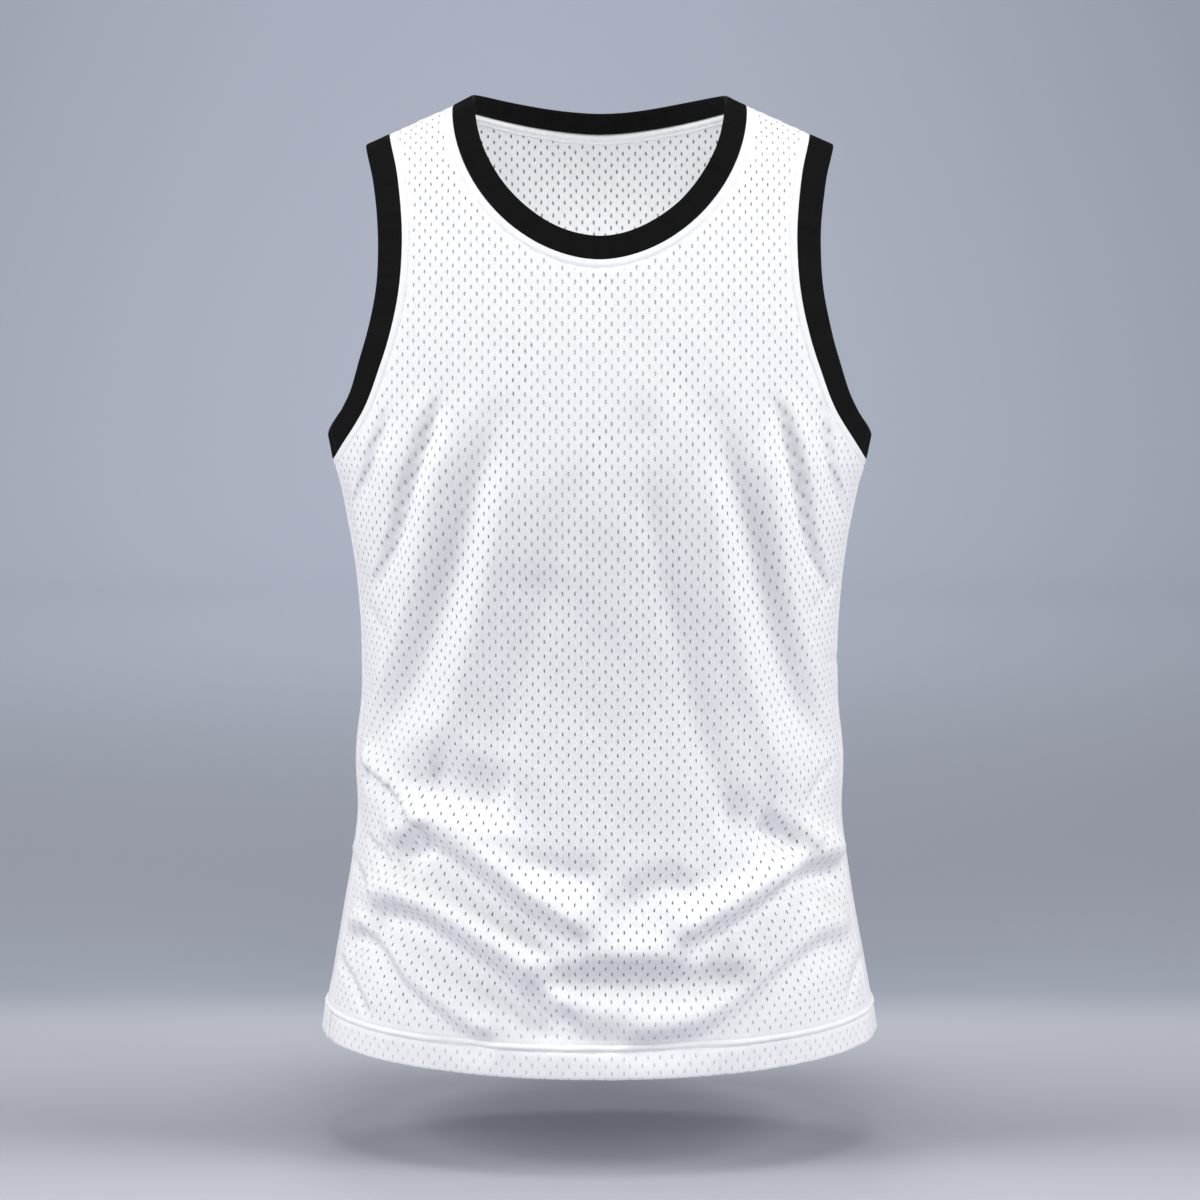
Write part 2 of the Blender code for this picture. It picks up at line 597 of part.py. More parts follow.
def neck_tape(name, finish):
    """The tape over the back neck seam, a strip parallel to it on the inside of the back panel."""
    lining = WALL / 2 + TAPE_GAP
    rings = []
    for drop, depth in ((TAPE_TOP, lining), (TAPE_TOP, lining + TAPE_WALL),
                        (TAPE_TOP + TAPE_HEIGHT, lining + TAPE_WALL), (TAPE_TOP + TAPE_HEIGHT, lining)):
        line = below_neck(drop)
        points, normals = cloth(line[:, 0], line[:, 1])
        rings.append(points - normals * depth)
    return loft(name, np.stack(rings, axis=1), False, finish)


def build_jersey():
    for old in list(bpy.data.objects):
        bpy.data.objects.remove(old, do_unlink=True)
    mesh_cloth = material("polyester pin-hole mesh, white", (0.87, 0.87, 0.89), 0.7)
    rib_knit = material("fine rib knit, black", (0.010, 0.010, 0.011), 0.6)
    tape_cloth = material("twill neck tape, white", (0.83, 0.83, 0.85), 0.65)
    panel("front", False, mesh_cloth)
    panel("back", True, mesh_cloth)
    hem("hem_front", False, mesh_cloth)
    hem("hem_back", True, mesh_cloth)
    binding("neck_binding", neck_loop(), NECK_BINDING_WIDTH, rib_knit)
    binding("armhole_binding_left", armhole_loop(True), ARMHOLE_BINDING_WIDTH, rib_knit)
    binding("armhole_binding_right", armhole_loop(False), ARMHOLE_BINDING_WIDTH, rib_knit)
    neck_tape("neck_tape", tape_cloth)


build_jersey()
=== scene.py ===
"""Basketball practice jersey: white pin-hole mesh with black rib bindings, in the shape it has when worn.

Sizes are in millimetres and become metres when a mesh is made. +Z is up, the front faces -Y and the wearer's
left side is at +X. Each panel is worked out on its flat cloth: girth is the length round the body from the
panel's centre line, and rise is the length up the cloth from the hem line.
"""
import functools
import math
from collections import namedtuple

import bpy
import numpy as np
from bpy.props import FloatProperty, FloatVectorProperty, PointerProperty
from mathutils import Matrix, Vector
from mathutils.geometry import delaunay_2d_cdt


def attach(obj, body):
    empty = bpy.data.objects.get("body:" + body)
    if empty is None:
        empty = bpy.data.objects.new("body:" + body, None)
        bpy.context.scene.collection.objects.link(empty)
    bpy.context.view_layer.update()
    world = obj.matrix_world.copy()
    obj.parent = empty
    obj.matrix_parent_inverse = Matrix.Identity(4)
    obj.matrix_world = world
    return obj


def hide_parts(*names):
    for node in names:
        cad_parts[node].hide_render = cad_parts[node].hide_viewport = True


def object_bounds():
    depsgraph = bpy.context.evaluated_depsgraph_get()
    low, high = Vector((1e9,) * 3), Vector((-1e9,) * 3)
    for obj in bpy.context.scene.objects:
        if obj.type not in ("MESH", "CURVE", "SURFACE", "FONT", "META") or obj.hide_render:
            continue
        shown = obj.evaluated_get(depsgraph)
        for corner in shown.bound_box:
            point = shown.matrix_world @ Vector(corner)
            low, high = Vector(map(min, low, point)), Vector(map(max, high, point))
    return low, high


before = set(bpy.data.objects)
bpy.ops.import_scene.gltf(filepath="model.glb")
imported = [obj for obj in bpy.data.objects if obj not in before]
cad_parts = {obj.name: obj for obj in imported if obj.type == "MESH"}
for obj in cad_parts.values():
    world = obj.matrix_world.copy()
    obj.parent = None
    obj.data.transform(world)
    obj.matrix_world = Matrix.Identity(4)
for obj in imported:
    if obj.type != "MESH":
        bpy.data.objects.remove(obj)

bl_info = {
    "name": "Basketball practice jersey",
    "version": (1, 0, 0),
    "blender": (4, 5, 0),
    "location": "View3D > Sidebar > Jersey",
    "description": "Builds a pin-hole mesh practice jersey over its packed solids",
    "category": "Object",
}

MM = 0.001
CAD_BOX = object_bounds()

# ---------------------------------------------------------------- the body form, as in the solids

HEM_TOP = -672.0
HEM_SIDE_RISE = 4.0
SIDE_SEAM = math.radians(76.0)
ARMPIT = -248.0
SHOULDER_HALF = 157.5
NECK_HALF = 109.0
SHOULDER_SLOPE = 0.446
NECK_DROP_FRONT = 109.5
NECK_DROP_BACK = 20.5
NECK_FRONT_POWER = 1.86
NECK_BACK_POWER = 1.7
NECK_BASE_RISE = 24.0
SEAM_PLANE = 10.0
FRONT_ROUND = 385.0
BACK_ROUND = 250.0
NECK_BINDING_WIDTH = 17.2
ARMHOLE_BINDING_WIDTH = 19.2
NECK_TOP = 1.2 + SHOULDER_SLOPE * ((NECK_HALF + SHOULDER_HALF) / 2 - NECK_HALF)

# height, half width, front depth, back depth, roundness
SECTIONS = np.array((
    (-698, 214.0, 138, 128, 2.05), (-660, 208.0, 135, 125, 2.10), (-600, 196.5, 129, 119, 2.15),
    (-550, 188.5, 124, 114, 2.20), (-520, 185.0, 120, 110, 2.25), (-480, 186.0, 116, 107, 2.30),
    (-430, 181.5, 112, 104, 2.35), (-390, 181.0, 112, 104, 2.40), (-340, 184.0, 114, 106, 2.40),
    (-300, 190.0, 117, 109, 2.40), (-270, 196.0, 119, 111, 2.40), (-250, 201.0, 120, 112, 2.40),
    (-220, 203.0, 120, 113, 2.40), (40, 203.0, 114, 114, 2.40),
))
ARMHOLE_FRONT = ((150.0, -40), (145.9, -87), (149.4, -130), (161.3, -175), (177.0, -214))
ARMHOLE_BACK = ((152.5, -42), (147.2, -89), (150.4, -135), (162.4, -180), (178.6, -218), (196.0, -241.5))

# A fold is a soft ridge (positive lift) or trough (negative lift) along a line on the cloth.
Fold = namedtuple("Fold", "lift reach line")
FRONT_FOLDS = (
    Fold(-4.0, 7, ((-159, -221), (-166, -239), (-173, -261), (-178, -274))),
    Fold(3.0, 8, ((-144, -214), (-150, -238), (-164, -282), (-176, -325))),
    Fold(-6.5, 10, ((-121, -210), (-138, -259), (-146, -290), (-163, -335))),
    Fold(5.5, 10, ((-105, -207), (-119, -258), (-137, -330), (-156, -390), (-172, -440))),
    Fold(-8.5, 15, ((-78, -212), (-93, -257), (-108, -317), (-128, -378), (-155, -435), (-170, -454))),
    Fold(6.5, 14, ((-64, -227), (-75, -301), (-94, -376), (-114, -438), (-146, -464))),
    Fold(-5.0, 30, ((-40, -315), (-54, -375), (-69, -420), (-90, -466))),
    Fold(-6.0, 10, ((-141, -489), (-126, -482), (-107, -486), (-72, -496))),
    Fold(-3.0, 6, ((-178, -486), (-156, -498), (-134, -521))),
    Fold(-7.5, 11, ((-153, -543), (-128, -533), (-92, -553), (-48, -583), (-15, -602))),
    Fold(6.0, 15, ((-130, -508), (-90, -530), (-45, -562), (-8, -586), (22, -600), (50, -596),
                   (80, -580), (118, -560), (165, -541))),
    Fold(-3.5, 10, ((-59, -545), (-30, -547), (0, -548))),
    Fold(-3.5, 11, ((66, -557), (40, -557), (18, -569))),
    Fold(-6.5, 10, ((183, -561), (151, -560), (118, -580), (67, -606))),
    Fold(-5.5, 10, ((150, -534), (135, -524), (122, -513))),
    Fold(-5.0, 26, ((38, -234), (49, -308), (68, -397), (94, -487), (103, -517))),
    Fold(6.5, 14, ((76, -228), (85, -305), (101, -384), (122, -445), (144, -500))),
    Fold(-7.5, 13, ((88, -212), (102, -261), (116, -318), (132, -379), (154, -436), (170, -459))),
    Fold(5.0, 10, ((116, -213), (127, -270), (141, -338), (161, -406), (171, -437))),
    Fold(-5.0, 9, ((133, -214), (144, -263), (156, -314), (166, -335))),
    Fold(3.0, 8, ((147, -214), (159, -268), (173, -316))),
    Fold(-4.0, 7, ((164, -218), (172, -258), (178, -282))),
    Fold(-6.0, 13, ((-48, -628), (0, -628), (40, -629), (73, -630), (109, -627))),
    Fold(-7.0, 11, ((-167, -589), (-138, -588), (-96, -610), (-56, -638), (-11, -667), (33, -674))),
    Fold(-5.0, 10, ((33, -674), (73, -669), (111, -646), (155, -616), (189, -616))),
    Fold(5.0, 11, ((-149, -568), (-96, -583), (-41, -609))),
    Fold(3.0, 10, ((-19, -640), (14, -648), (59, -648), (103, -634))),
    Fold(-5.0, 8, ((-190, -612), (-168, -611), (-142, -640), (-83, -672))),
    Fold(3.5, 9, ((-161, -600), (-111, -631), (-82, -647))),
    Fold(4.0, 13, ((176, -577), (118, -594), (88, -609))),
)
BACK_FOLDS = (
    Fold(-5.0, 10, ((158, -222), (160, -268), (170, -318))),
    Fold(4.0, 10, ((134, -205), (142, -268), (160, -345))),
    Fold(-7.5, 14, ((106, -190), (112, -262), (130, -345), (158, -424))),
    Fold(5.5, 15, ((80, -215), (90, -300), (112, -392), (146, -456))),
    Fold(-4.5, 28, ((48, -250), (56, -340), (78, -440), (104, -494))),
    Fold(-4.5, 9, ((-156, -226), (-161, -270), (-171, -330))),
    Fold(4.5, 11, ((-138, -208), (-140, -262), (-158, -352))),
    Fold(-7.0, 13, ((-98, -196), (-108, -282), (-131, -372), (-164, -438))),
    Fold(5.5, 13, ((-70, -222), (-84, -318), (-108, -402), (-150, -470))),
    Fold(-4.5, 30, ((-36, -272), (-48, -352), (-72, -432), (-98, -480))),
    Fold(5.5, 16, ((-150, -508), (-92, -528), (-22, -562), (44, -566), (110, -540), (160, -514))),
    Fold(-8.0, 10, ((176, -540), (124, -548), (72, -580), (26, -600))),
    Fold(-8.0, 9, ((-178, -548), (-136, -552), (-84, -584), (-40, -602))),
    Fold(-6.0, 12, ((-62, -636), (-8, -630), (60, -632))),
    Fold(-6.0, 10, ((186, -588), (132, -606), (78, -642), (20, -668))),
    Fold(-6.5, 10, ((-180, -600), (-128, -616), (-74, -652), (-14, -672))),
    Fold(3.5, 12, ((172, -572), (112, -592), (70, -622))),
    Fold(4.0, 12, ((-170, -578), (-114, -600), (-66, -632))),
)
# Creases too small for the solids.
FRONT_CREASES = (
    Fold(-7.4, 16, ((-130, -474), (-116, -478), (-98, -484), (-62, -491))),
    Fold(3.4, 9, ((-150, -498), (-122, -506), (-92, -515), (-52, -522))),
    Fold(-5.4, 17, ((84, -508), (110, -510), (134, -518), (150, -528))),
    Fold(-2.6, 12, ((-64, -534), (-36, -538), (-6, -541), (8, -544))),
    Fold(-2.6, 12, ((66, -546), (46, -547), (28, -553), (10, -563))),
    Fold(-2.0, 14, ((-64, -222), (-78, -262), (-93, -317), (-112, -378), (-136, -428), (-156, -450))),
    Fold(-1.8, 14, ((74, -222), (90, -264), (104, -318), (120, -379), (142, -436), (160, -458))),
    Fold(-1.6, 4.5, ((-175, -359), (-168, -366), (-156, -378))),
    Fold(-1.8, 4.5, ((178, -341), (168, -350), (154, -361))),
    Fold(-2.0, 4.5, ((179, -476), (167, -486), (151, -506))),
    Fold(-1.4, 4.0, ((186, -406), (176, -402), (166, -398))),
    Fold(-1.3, 6.0, ((-143, -55), (-126, -67), (-104, -81))),
    Fold(-1.2, 6.0, ((141, -58), (122, -74), (110, -88))),
    Fold(-2.2, 5.0, ((-198, -633), (-187, -639), (-181, -650), (-173, -660))),
    Fold(-2.2, 5.0, ((200, -632), (193, -642), (187, -660))),
    Fold(-2.0, 5.0, ((-188, -557), (-178, -563), (-167, -576))),
    Fold(-2.2, 5.0, ((-176, -533), (-161, -541), (-150, -550), (-138, -553))),
    Fold(1.9, 17, ((4, -215), (12, -330), (19, -420), (38, -520))),
    Fold(1.4, 5.0, ((-182, -290), (-178, -306), (-180, -322))),
)
BACK_CREASES = (
    Fold(-1.8, 4.5, ((176, -362), (166, -370), (152, -384))),
    Fold(-1.6, 4.5, ((-178, -350), (-168, -360), (-154, -372))),
    Fold(-2.2, 5.0, ((-196, -630), (-186, -640), (-174, -658))),
    Fold(-2.0, 5.0, ((198, -628), (190, -640), (180, -656))),
    Fold(-1.5, 7.0, ((-118, -70), (-92, -92), (-70, -118))),
    Fold(-1.3, 7.0, ((112, -66), (96, -84), (80, -112))),
    Fold(-1.8, 5.0, ((182, -470), (168, -482), (150, -500))),
)
# A flank is the steep side of a fold: the cloth stands out above and outside its line, and sinks in below.
FRONT_FLANKS = (
    Fold(1.8, 6, ((-157, -203), (-163, -223), (-170, -241), (-177, -263), (-184, -282))),
    Fold(2.8, 8, ((-120, -190), (-126, -212), (-133, -235), (-143, -261), (-151, -292), (-160, -320),
                  (-171, -345))),
    Fold(1.6, 16, ((-75, -184), (-83, -208), (-90, -233), (-98, -259), (-105, -289), (-113, -319),
                   (-123, -350), (-133, -380), (-146, -408), (-160, -437), (-182, -466))),
    Fold(1.3, 17, ((-28, -236), (-36, -290), (-48, -330), (-59, -377), (-74, -422), (-89, -462),
                   (-102, -490))),
    Fold(6.2, 10.5, ((-180, -479), (-167, -487), (-156, -494), (-145, -503), (-139, -511), (-128, -524))),
    Fold(8.6, 16.5, ((-159, -543), (-140, -528), (-128, -525), (-115, -532), (-96, -544), (-74, -560),
                     (-52, -574), (-33, -586), (-6, -598))),
    Fold(1.4, 14, ((-74, -537), (-41, -541), (-19, -544), (6, -548))),
    Fold(1.6, 14, ((76, -554), (47, -550), (33, -556), (8, -569))),
    Fold(9.4, 16, ((186, -557), (178, -554), (166, -550), (151, -552), (137, -561), (118, -571),
                   (96, -583), (77, -592), (54, -604))),
    Fold(5.4, 12, ((163, -538), (137, -521), (120, -507))),
    Fold(2.3, 16, ((42, -184), (44, -220), (47, -273), (54, -310), (64, -355), (73, -399), (84, -444),
                   (99, -489), (112, -530))),
    Fold(1.5, 15, ((84, -184), (90, -206), (100, -237), (107, -263), (114, -289), (121, -320),
                   (128, -350), (137, -381), (147, -410), (159, -438), (180, -466))),
    Fold(2.7, 7.5, ((130, -190), (136, -210), (144, -239), (149, -265), (154, -292), (161, -316),
                    (173, -346))),
    Fold(1.9, 6, ((165, -198), (168, -216), (171, -240), (176, -260), (184, -291))),
    Fold(5.0, 15, ((-62, -624), (-26, -616), (0, -616), (36, -617), (73, -618), (122, -619))),
    Fold(8.4, 16.5, ((-177, -594), (-166, -584), (-153, -580), (-138, -583), (-119, -592), (-96, -605),
                     (-74, -618), (-56, -633), (-34, -648), (-13, -658))),
    Fold(3.8, 12, ((10, -667), (33, -668), (55, -667), (73, -664), (92, -655), (111, -642), (133, -626),
                   (155, -612), (168, -606), (180, -607), (192, -616))),
    Fold(5.2, 11, ((-192, -613), (-178, -603), (-168, -608), (-155, -623), (-142, -637), (-126, -649),
                   (-111, -660), (-96, -667), (-72, -671))),
    Fold(1.8, 5.5, ((-199, -630), (-187, -639), (-181, -650), (-170, -662))),
    Fold(1.8, 5.5, ((-189, -555), (-178, -563), (-167, -577))),
    Fold(1.9, 5.5, ((-175, -532), (-161, -541), (-152, -549), (-134, -553))),
)
BACK_FLANKS = (
    Fold(2.0, 12, ((106, -196), (112, -262), (128, -345), (156, -424))),
    Fold(2.0, 12, ((-96, -200), (-107, -282), (-130, -372), (-162, -438))),
    Fold(1.8, 6, ((-156, -230), (-160, -270), (-170, -330))),
    Fold(1.8, 6, ((156, -226), (160, -268), (170, -322))),
    Fold(5.4, 13, ((176, -536), (124, -544), (72, -575), (26, -594))),
    Fold(5.4, 13, ((-178, -543), (-136, -547), (-84, -578), (-40, -597))),
    Fold(2.4, 10, ((-66, -628), (-8, -622), (64, -625))),
    Fold(5.0, 12, ((186, -582), (132, -599), (78, -635), (20, -661))),
    Fold(5.2, 12, ((-182, -594), (-128, -609), (-74, -645), (-14, -666))),
    Fold(1.6, 8, ((-60, -500), (-20, -508), (30, -504))),
)
FOLD_SHARE = 0.62           # the solids' soft folds keep this share; the flanks give the rest
FOLD_FADE, FOLD_END = 0.17, 0.25    # share of its length over which a fold fades, and what its ends keep
FLANK_FADE = 0.12
FLANK_CREST = 2.33          # brings the crest beside a flank's line up to its lift
FLANK_LEAN = 0.5            # how much the outer side counts against the upper side of a slanting flank
SEAM_CALM = 13.0            # folds and waves die out over this much cloth beside a binding
SIDE_CALM = 20.0            # and flanks over this much beside a side seam
UNEVEN = 0.16               # height of the cloth's slight waviness

# ---------------------------------------------------------------- the cloth and its pieces

CLOTH_HALF = 0.42           # half the thickness of the knit
MAP_STEP = 1.5              # spacing of the worked-out cloth surface
MAP_REACH = 312.0           # girth worked out to either side of a panel's centre line
MAP_RISES = (-32.0, 802.0)  # from below the lower edge to past the shoulder line
MAP_SHARES = (-0.3, 1, 640)     # shares of the way down, from past the shoulder line, and how many
FALL = 770.0                # from the shoulder line down past the lower edge
COLUMN, PITCH = 4.5, 10.4   # hole columns apart, and holes apart in one column
RIB = 1.3                   # rib spacing of the binding knit

Section = namedtuple("Section", "half front back power")


# ---------------------------------------------------------------- reading curves and tables

def smooth_through(knots, values, at):
    """Cubic pieces through the knots, whose slopes are the mean of their neighbours'."""
    knots, values = np.asarray(knots, float), np.asarray(values, float)
    slopes = np.gradient(values, knots)
    at = np.clip(np.asarray(at, float), knots[0], knots[-1])
    i = np.clip(np.searchsorted(knots, at, side="right") - 1, 0, len(knots) - 2)
    span = knots[i + 1] - knots[i]
    t = (at - knots[i]) / span
    return ((2 * t**3 - 3 * t**2 + 1) * values[i] + (t**3 - 2 * t**2 + t) * span * slopes[i]
            + (3 * t**2 - 2 * t**3) * values[i + 1] + (t**3 - t**2) * span * slopes[i + 1])


def read_rows(at, knots, values):
    """Straight-line reading row by row: row i of at is read from the rising row i of knots."""
    at = np.clip(at, knots[:, :1], knots[:, -1:])
    shift = np.arange(len(knots))[:, None] * (np.ptp(knots) + 1.0)
    values = np.broadcast_to(values, knots.shape)
    return np.interp((at + shift).ravel(), (knots + shift).ravel(), values.ravel()).reshape(at.shape)


def cubic_weights(t):
    return ((2 * t * t - t**3 - t) / 2, (3 * t**3 - 5 * t * t + 2) / 2, (4 * t * t - 3 * t**3 + t) / 2,
            (t**3 - t * t) / 2)


def read_table(table, row, column):
    """Smooth reading of a table at fractional rows and columns, from the 16 cells round each place."""
    row, column = np.broadcast_arrays(row, column)
    i = np.clip(np.floor(row), 1, table.shape[0] - 3).astype(int)
    j = np.clip(np.floor(column), 1, table.shape[1] - 3).astype(int)
    down, over = cubic_weights(row - i), cubic_weights(column - j)
    total = 0
    for a in range(4):
        for b in range(4):
            share = down[a] * over[b]
            total = total + (share[..., None] if table.ndim == 3 else share) * table[i + a - 1, j + b - 1]
    return total


def unit(vectors):
    return vectors / np.linalg.norm(vectors, axis=-1, keepdims=True)


def stacked(*parts):
    """Arrays side by side along a new last axis."""
    return np.stack(np.broadcast_arrays(*parts), axis=-1)


def run_along(line):
    """Length walked at each point of a line."""
    return np.concatenate([[0], np.cumsum(np.linalg.norm(np.diff(line, axis=0), axis=1))])


def spaced(line, step):
    """The same line with points at equal steps of about this length."""
    run = run_along(line)
    at = np.linspace(0, run[-1], max(2, int(round(run[-1] / step)) + 1))
    return stacked(*(np.interp(at, run, part) for part in line.T))


def nearest(line, places):
    """Distance of flat places from a line, the length walked to its nearest point, and the side.

    The side is 1 to the left of the line as it is read, and -1 to its right.
    """
    best = np.full(places.shape[:-1], np.inf)
    where = np.zeros(places.shape[:-1])
    side = np.ones(places.shape[:-1])
    run = run_along(line)
    for i in range(len(line) - 1):
        leg = line[i + 1] - line[i]
        to = places - line[i]
        t = np.clip((to @ leg) / (leg @ leg), 0, 1)
        away = np.hypot(to[..., 0] - t * leg[0], to[..., 1] - t * leg[1])
        closer = away < best
        best = np.where(closer, away, best)
        where = np.where(closer, run[i] + t * (run[i + 1] - run[i]), where)
        side = np.where(closer, np.sign(leg[0] * to[..., 1] - leg[1] * to[..., 0]), side)
    return best, where, side


def ease(t):
    """Smooth step from 0 to 1."""
    t = np.clip(t, 0, 1)
    return t * t * (3 - 2 * t)


def bell(at, middle, reach):
    return np.exp(-(((at - middle) / reach) ** 2))


def beside_line(line, away):
    """A flat line moved sideways, to its left where away is positive."""
    ahead = unit(np.gradient(line, axis=0))
    return line + stacked(-ahead[:, 1], ahead[:, 0]) * away


def waves(seed, longest, shortest, count=14):
    """A smooth seeded unevenness: a sum of sines whose lengths lie between two values, about 1 high."""
    rng = np.random.default_rng(seed)
    turn = rng.uniform(0, 2 * np.pi, count)
    length = np.exp(rng.uniform(np.log(shortest), np.log(longest), count))
    phase = rng.uniform(0, 2 * np.pi, count)
    ways = np.stack([np.cos(turn), np.sin(turn)]) * 2 * np.pi / length

    def at(a, b=0.0):
        a, b = np.broadcast_arrays(a, b)
        parts = np.sin(a[..., None] * ways[0] + b[..., None] * ways[1] + phase)
        return parts.sum(axis=-1) / math.sqrt(count / 2)
    return at


# ---------------------------------------------------------------- the body form

FINE_HEIGHTS = np.arange(-770.0, 81.0, 1.0)
FINE_SECTIONS = np.stack([smooth_through(SECTIONS[:, 0], column, FINE_HEIGHTS) for column in SECTIONS.T[1:]])


def section_at(height):
    return Section(*(np.interp(height, FINE_HEIGHTS, row) for row in FINE_SECTIONS))


def shoulder_line(x):
    """Height of the shoulder line: straight along the strap, a parabola inside the neck."""
    x = np.abs(x)
    return np.where(x > NECK_HALF, NECK_TOP - SHOULDER_SLOPE * (x - NECK_HALF),
                    NECK_TOP + NECK_BASE_RISE * (1 - (x / NECK_HALF) ** 2))


def ring_shares(angle, power):
    """Where a ray at this angle meets the rounded section, as shares of half width and depth."""
    s, c = np.abs(np.sin(angle)), np.cos(angle)
    size = (s**power + np.abs(c) ** power) ** (1 / power)
    return s / size, c / size


def angle_at(x, height):
    """The angle, 0 to 90 degrees, at which the section at this height is x wide."""
    size = section_at(height)
    share = np.clip(np.abs(x) / size.half, 0, 0.99999) ** size.power
    return np.arctan((share / (1 - share)) ** (1 / size.power))


def body_point(angle, height, below=None, side=1.0):
    """A rounded section whose depth rounds over to nothing at the shoulder line, past it if side is -1."""
    size = section_at(height)
    across, along = ring_shares(angle, size.power)
    x = size.half * across * np.sign(np.sin(angle))
    below = shoulder_line(x) - height if below is None else below
    left = 1 - np.clip(below / np.where(along > 0, FRONT_ROUND, BACK_ROUND), 0, 1)
    depth = np.where(along > 0, size.front + SEAM_PLANE, size.back - SEAM_PLANE) * np.sqrt(1 - left**2) * side
    return stacked(x, SEAM_PLANE - depth * along, height)


HEIGHT_STEP, GIRTH_STEP = 4.0, 2.0
TABLE_HEIGHTS = np.arange(-770.0, 81.0, HEIGHT_STEP)
TURNS = np.linspace(0, np.pi, 361)
GIRTHS = np.arange(0.0, 700.0, GIRTH_STEP)


def girth_tables():
    """Length round each section from the centre front to each angle, and the angle at each length."""
    size = Section(*(part[:, None] for part in section_at(TABLE_HEIGHTS)))
    across, along = ring_shares(TURNS[None], size.power)
    x = size.half * across
    y = np.where(along > 0, size.front + SEAM_PLANE, size.back - SEAM_PLANE) * along
    walked = np.cumsum(np.hypot(np.diff(x), np.diff(y)), axis=1)
    girth = np.concatenate([np.zeros((len(x), 1)), walked], axis=1)
    angle = read_rows(np.broadcast_to(GIRTHS, (len(x), len(GIRTHS))), girth, TURNS)
    return girth, angle


GIRTH_TABLE, ANGLE_TABLE = girth_tables()


def read_flat(table, row, column):
    """Straight-line reading of a table at fractional rows and columns."""
    row = np.clip(row, 0, table.shape[0] - 1.001)
    column = np.clip(column, 0, table.shape[1] - 1.001)
    i, j = row.astype(int), column.astype(int)
    a, b = row - i, column - j
    return ((1 - a) * ((1 - b) * table[i, j] + b * table[i, j + 1])
            + a * ((1 - b) * table[i + 1, j] + b * table[i + 1, j + 1]))


def height_row(height):
    return (np.asarray(height, float) - TABLE_HEIGHTS[0]) / HEIGHT_STEP


def half_round(height):
    """Length round the section from the centre front to the centre back."""
    return np.interp(height, TABLE_HEIGHTS, GIRTH_TABLE[:, -1])


def girth_of(angle, height, back):
    """Signed length round the section from the panel's centre line."""
    length = read_flat(GIRTH_TABLE, height_row(height), np.abs(angle) / (TURNS[1] - TURNS[0]))
    return np.sign(angle) * (half_round(height) - length if back else length)


def angle_of(girth, height, back):
    length = half_round(height) - np.abs(girth) if back else np.abs(girth)
    return read_flat(ANGLE_TABLE, height_row(height), length / GIRTH_STEP)


def body_at(girth, share, back):
    """The body form at a girth and at a share of the way down: the fall is FALL times the share squared."""
    girth, share = np.broadcast_arrays(girth, share)
    below = FALL * share**2
    x = np.minimum(np.abs(girth), 150.0)
    for _ in range(4):
        height = shoulder_line(x) - below
        angle = angle_of(girth, height, back)
        size = section_at(height)
        x = size.half * ring_shares(angle, size.power)[0]
    height = shoulder_line(x) - below
    point = body_point(angle, height, below, np.sign(share))
    point[..., 0] = x * np.sign(girth)
    return point, angle


# ---------------------------------------------------------------- folds

def fold_line(fold, back):
    """The fold's line on the flat cloth, as girth and height."""
    points = np.array(fold.line, float)
    knots = run_along(points)
    path = np.linspace(0, knots[-1], 5 * (len(points) - 1) + 1)
    x = smooth_through(knots, points[:, 0], path)
    z = smooth_through(knots, points[:, 1], path)
    turn = angle_at(x, z)
    return stacked(np.sign(x) * np.abs(girth_of(np.pi - turn if back else turn, z, back)), z)


def folds_lift(places, folds, back, flank=False):
    """Sum of the folds, each fading along its line towards both ends.

    A fold is a bell across its line. A flank is the slope of a bell: it lifts the cloth on the line's upper,
    outer side.
    """
    lift = np.zeros(places.shape[:-1])
    for fold in folds:
        line = fold_line(fold, back)
        low, high = line.min(axis=0) - 3 * fold.reach, line.max(axis=0) + 3 * fold.reach
        near = np.all((places > low) & (places < high), axis=-1)
        away, where, side = nearest(line, places[near])
        where = where / run_along(line)[-1]
        to_end = np.minimum(where, 1 - where)
        share = away / fold.reach
        strength, shape = FOLD_END + (1 - FOLD_END) * ease(to_end / FOLD_FADE), np.exp(-share**2)
        if flank:
            ahead = line[-1] - line[0]
            upward = ahead[0] - FLANK_LEAN * ahead[1] * np.sign(line[:, 0].mean())
            strength, shape = ease(to_end / FLANK_FADE), shape * FLANK_CREST * share * side * np.sign(upward)
        lift[near] += fold.lift * strength * shape
    return lift


# ---------------------------------------------------------------- the cloth surface of a panel

ClothMap = namedtuple("ClothMap", "girths rises points normals rise_table")


@functools.lru_cache(None)
def body_map(back):
    """The body form on columns of equal girth, with the rise up the cloth from the hem line."""
    girths = np.arange(-MAP_REACH, MAP_REACH + MAP_STEP, MAP_STEP)
    shares = np.linspace(*MAP_SHARES)
    point, _ = body_at(girths[:, None], shares[None], back)
    steps = np.linalg.norm(np.diff(point, axis=1), axis=-1)
    run = np.concatenate([np.zeros((len(girths), 1)), np.cumsum(steps, axis=1)], axis=1)
    turn = angle_of(girths, np.full_like(girths, HEM_TOP), back)
    hem = HEM_TOP + HEM_SIDE_RISE * np.sin(turn) ** 2
    down = shares > 0.1
    hem_run = read_rows(-hem[:, None], -point[:, down, 2], run[:, down])
    return girths, shares, run, hem_run


def place_of(angle, height, back):
    """Flat place, girth and rise, of a point given by angle and height."""
    girths, shares, run, hem_run = body_map(back)
    girth = girth_of(angle, height, back)
    size = section_at(height)
    x = size.half * ring_shares(angle, size.power)[0]
    share = np.sqrt(np.maximum(shoulder_line(x) - height, 0) / FALL)
    column = (share - shares[0]) / (shares[1] - shares[0])
    return stacked(girth, read_table(hem_run - run, (girth - girths[0]) / MAP_STEP, column))


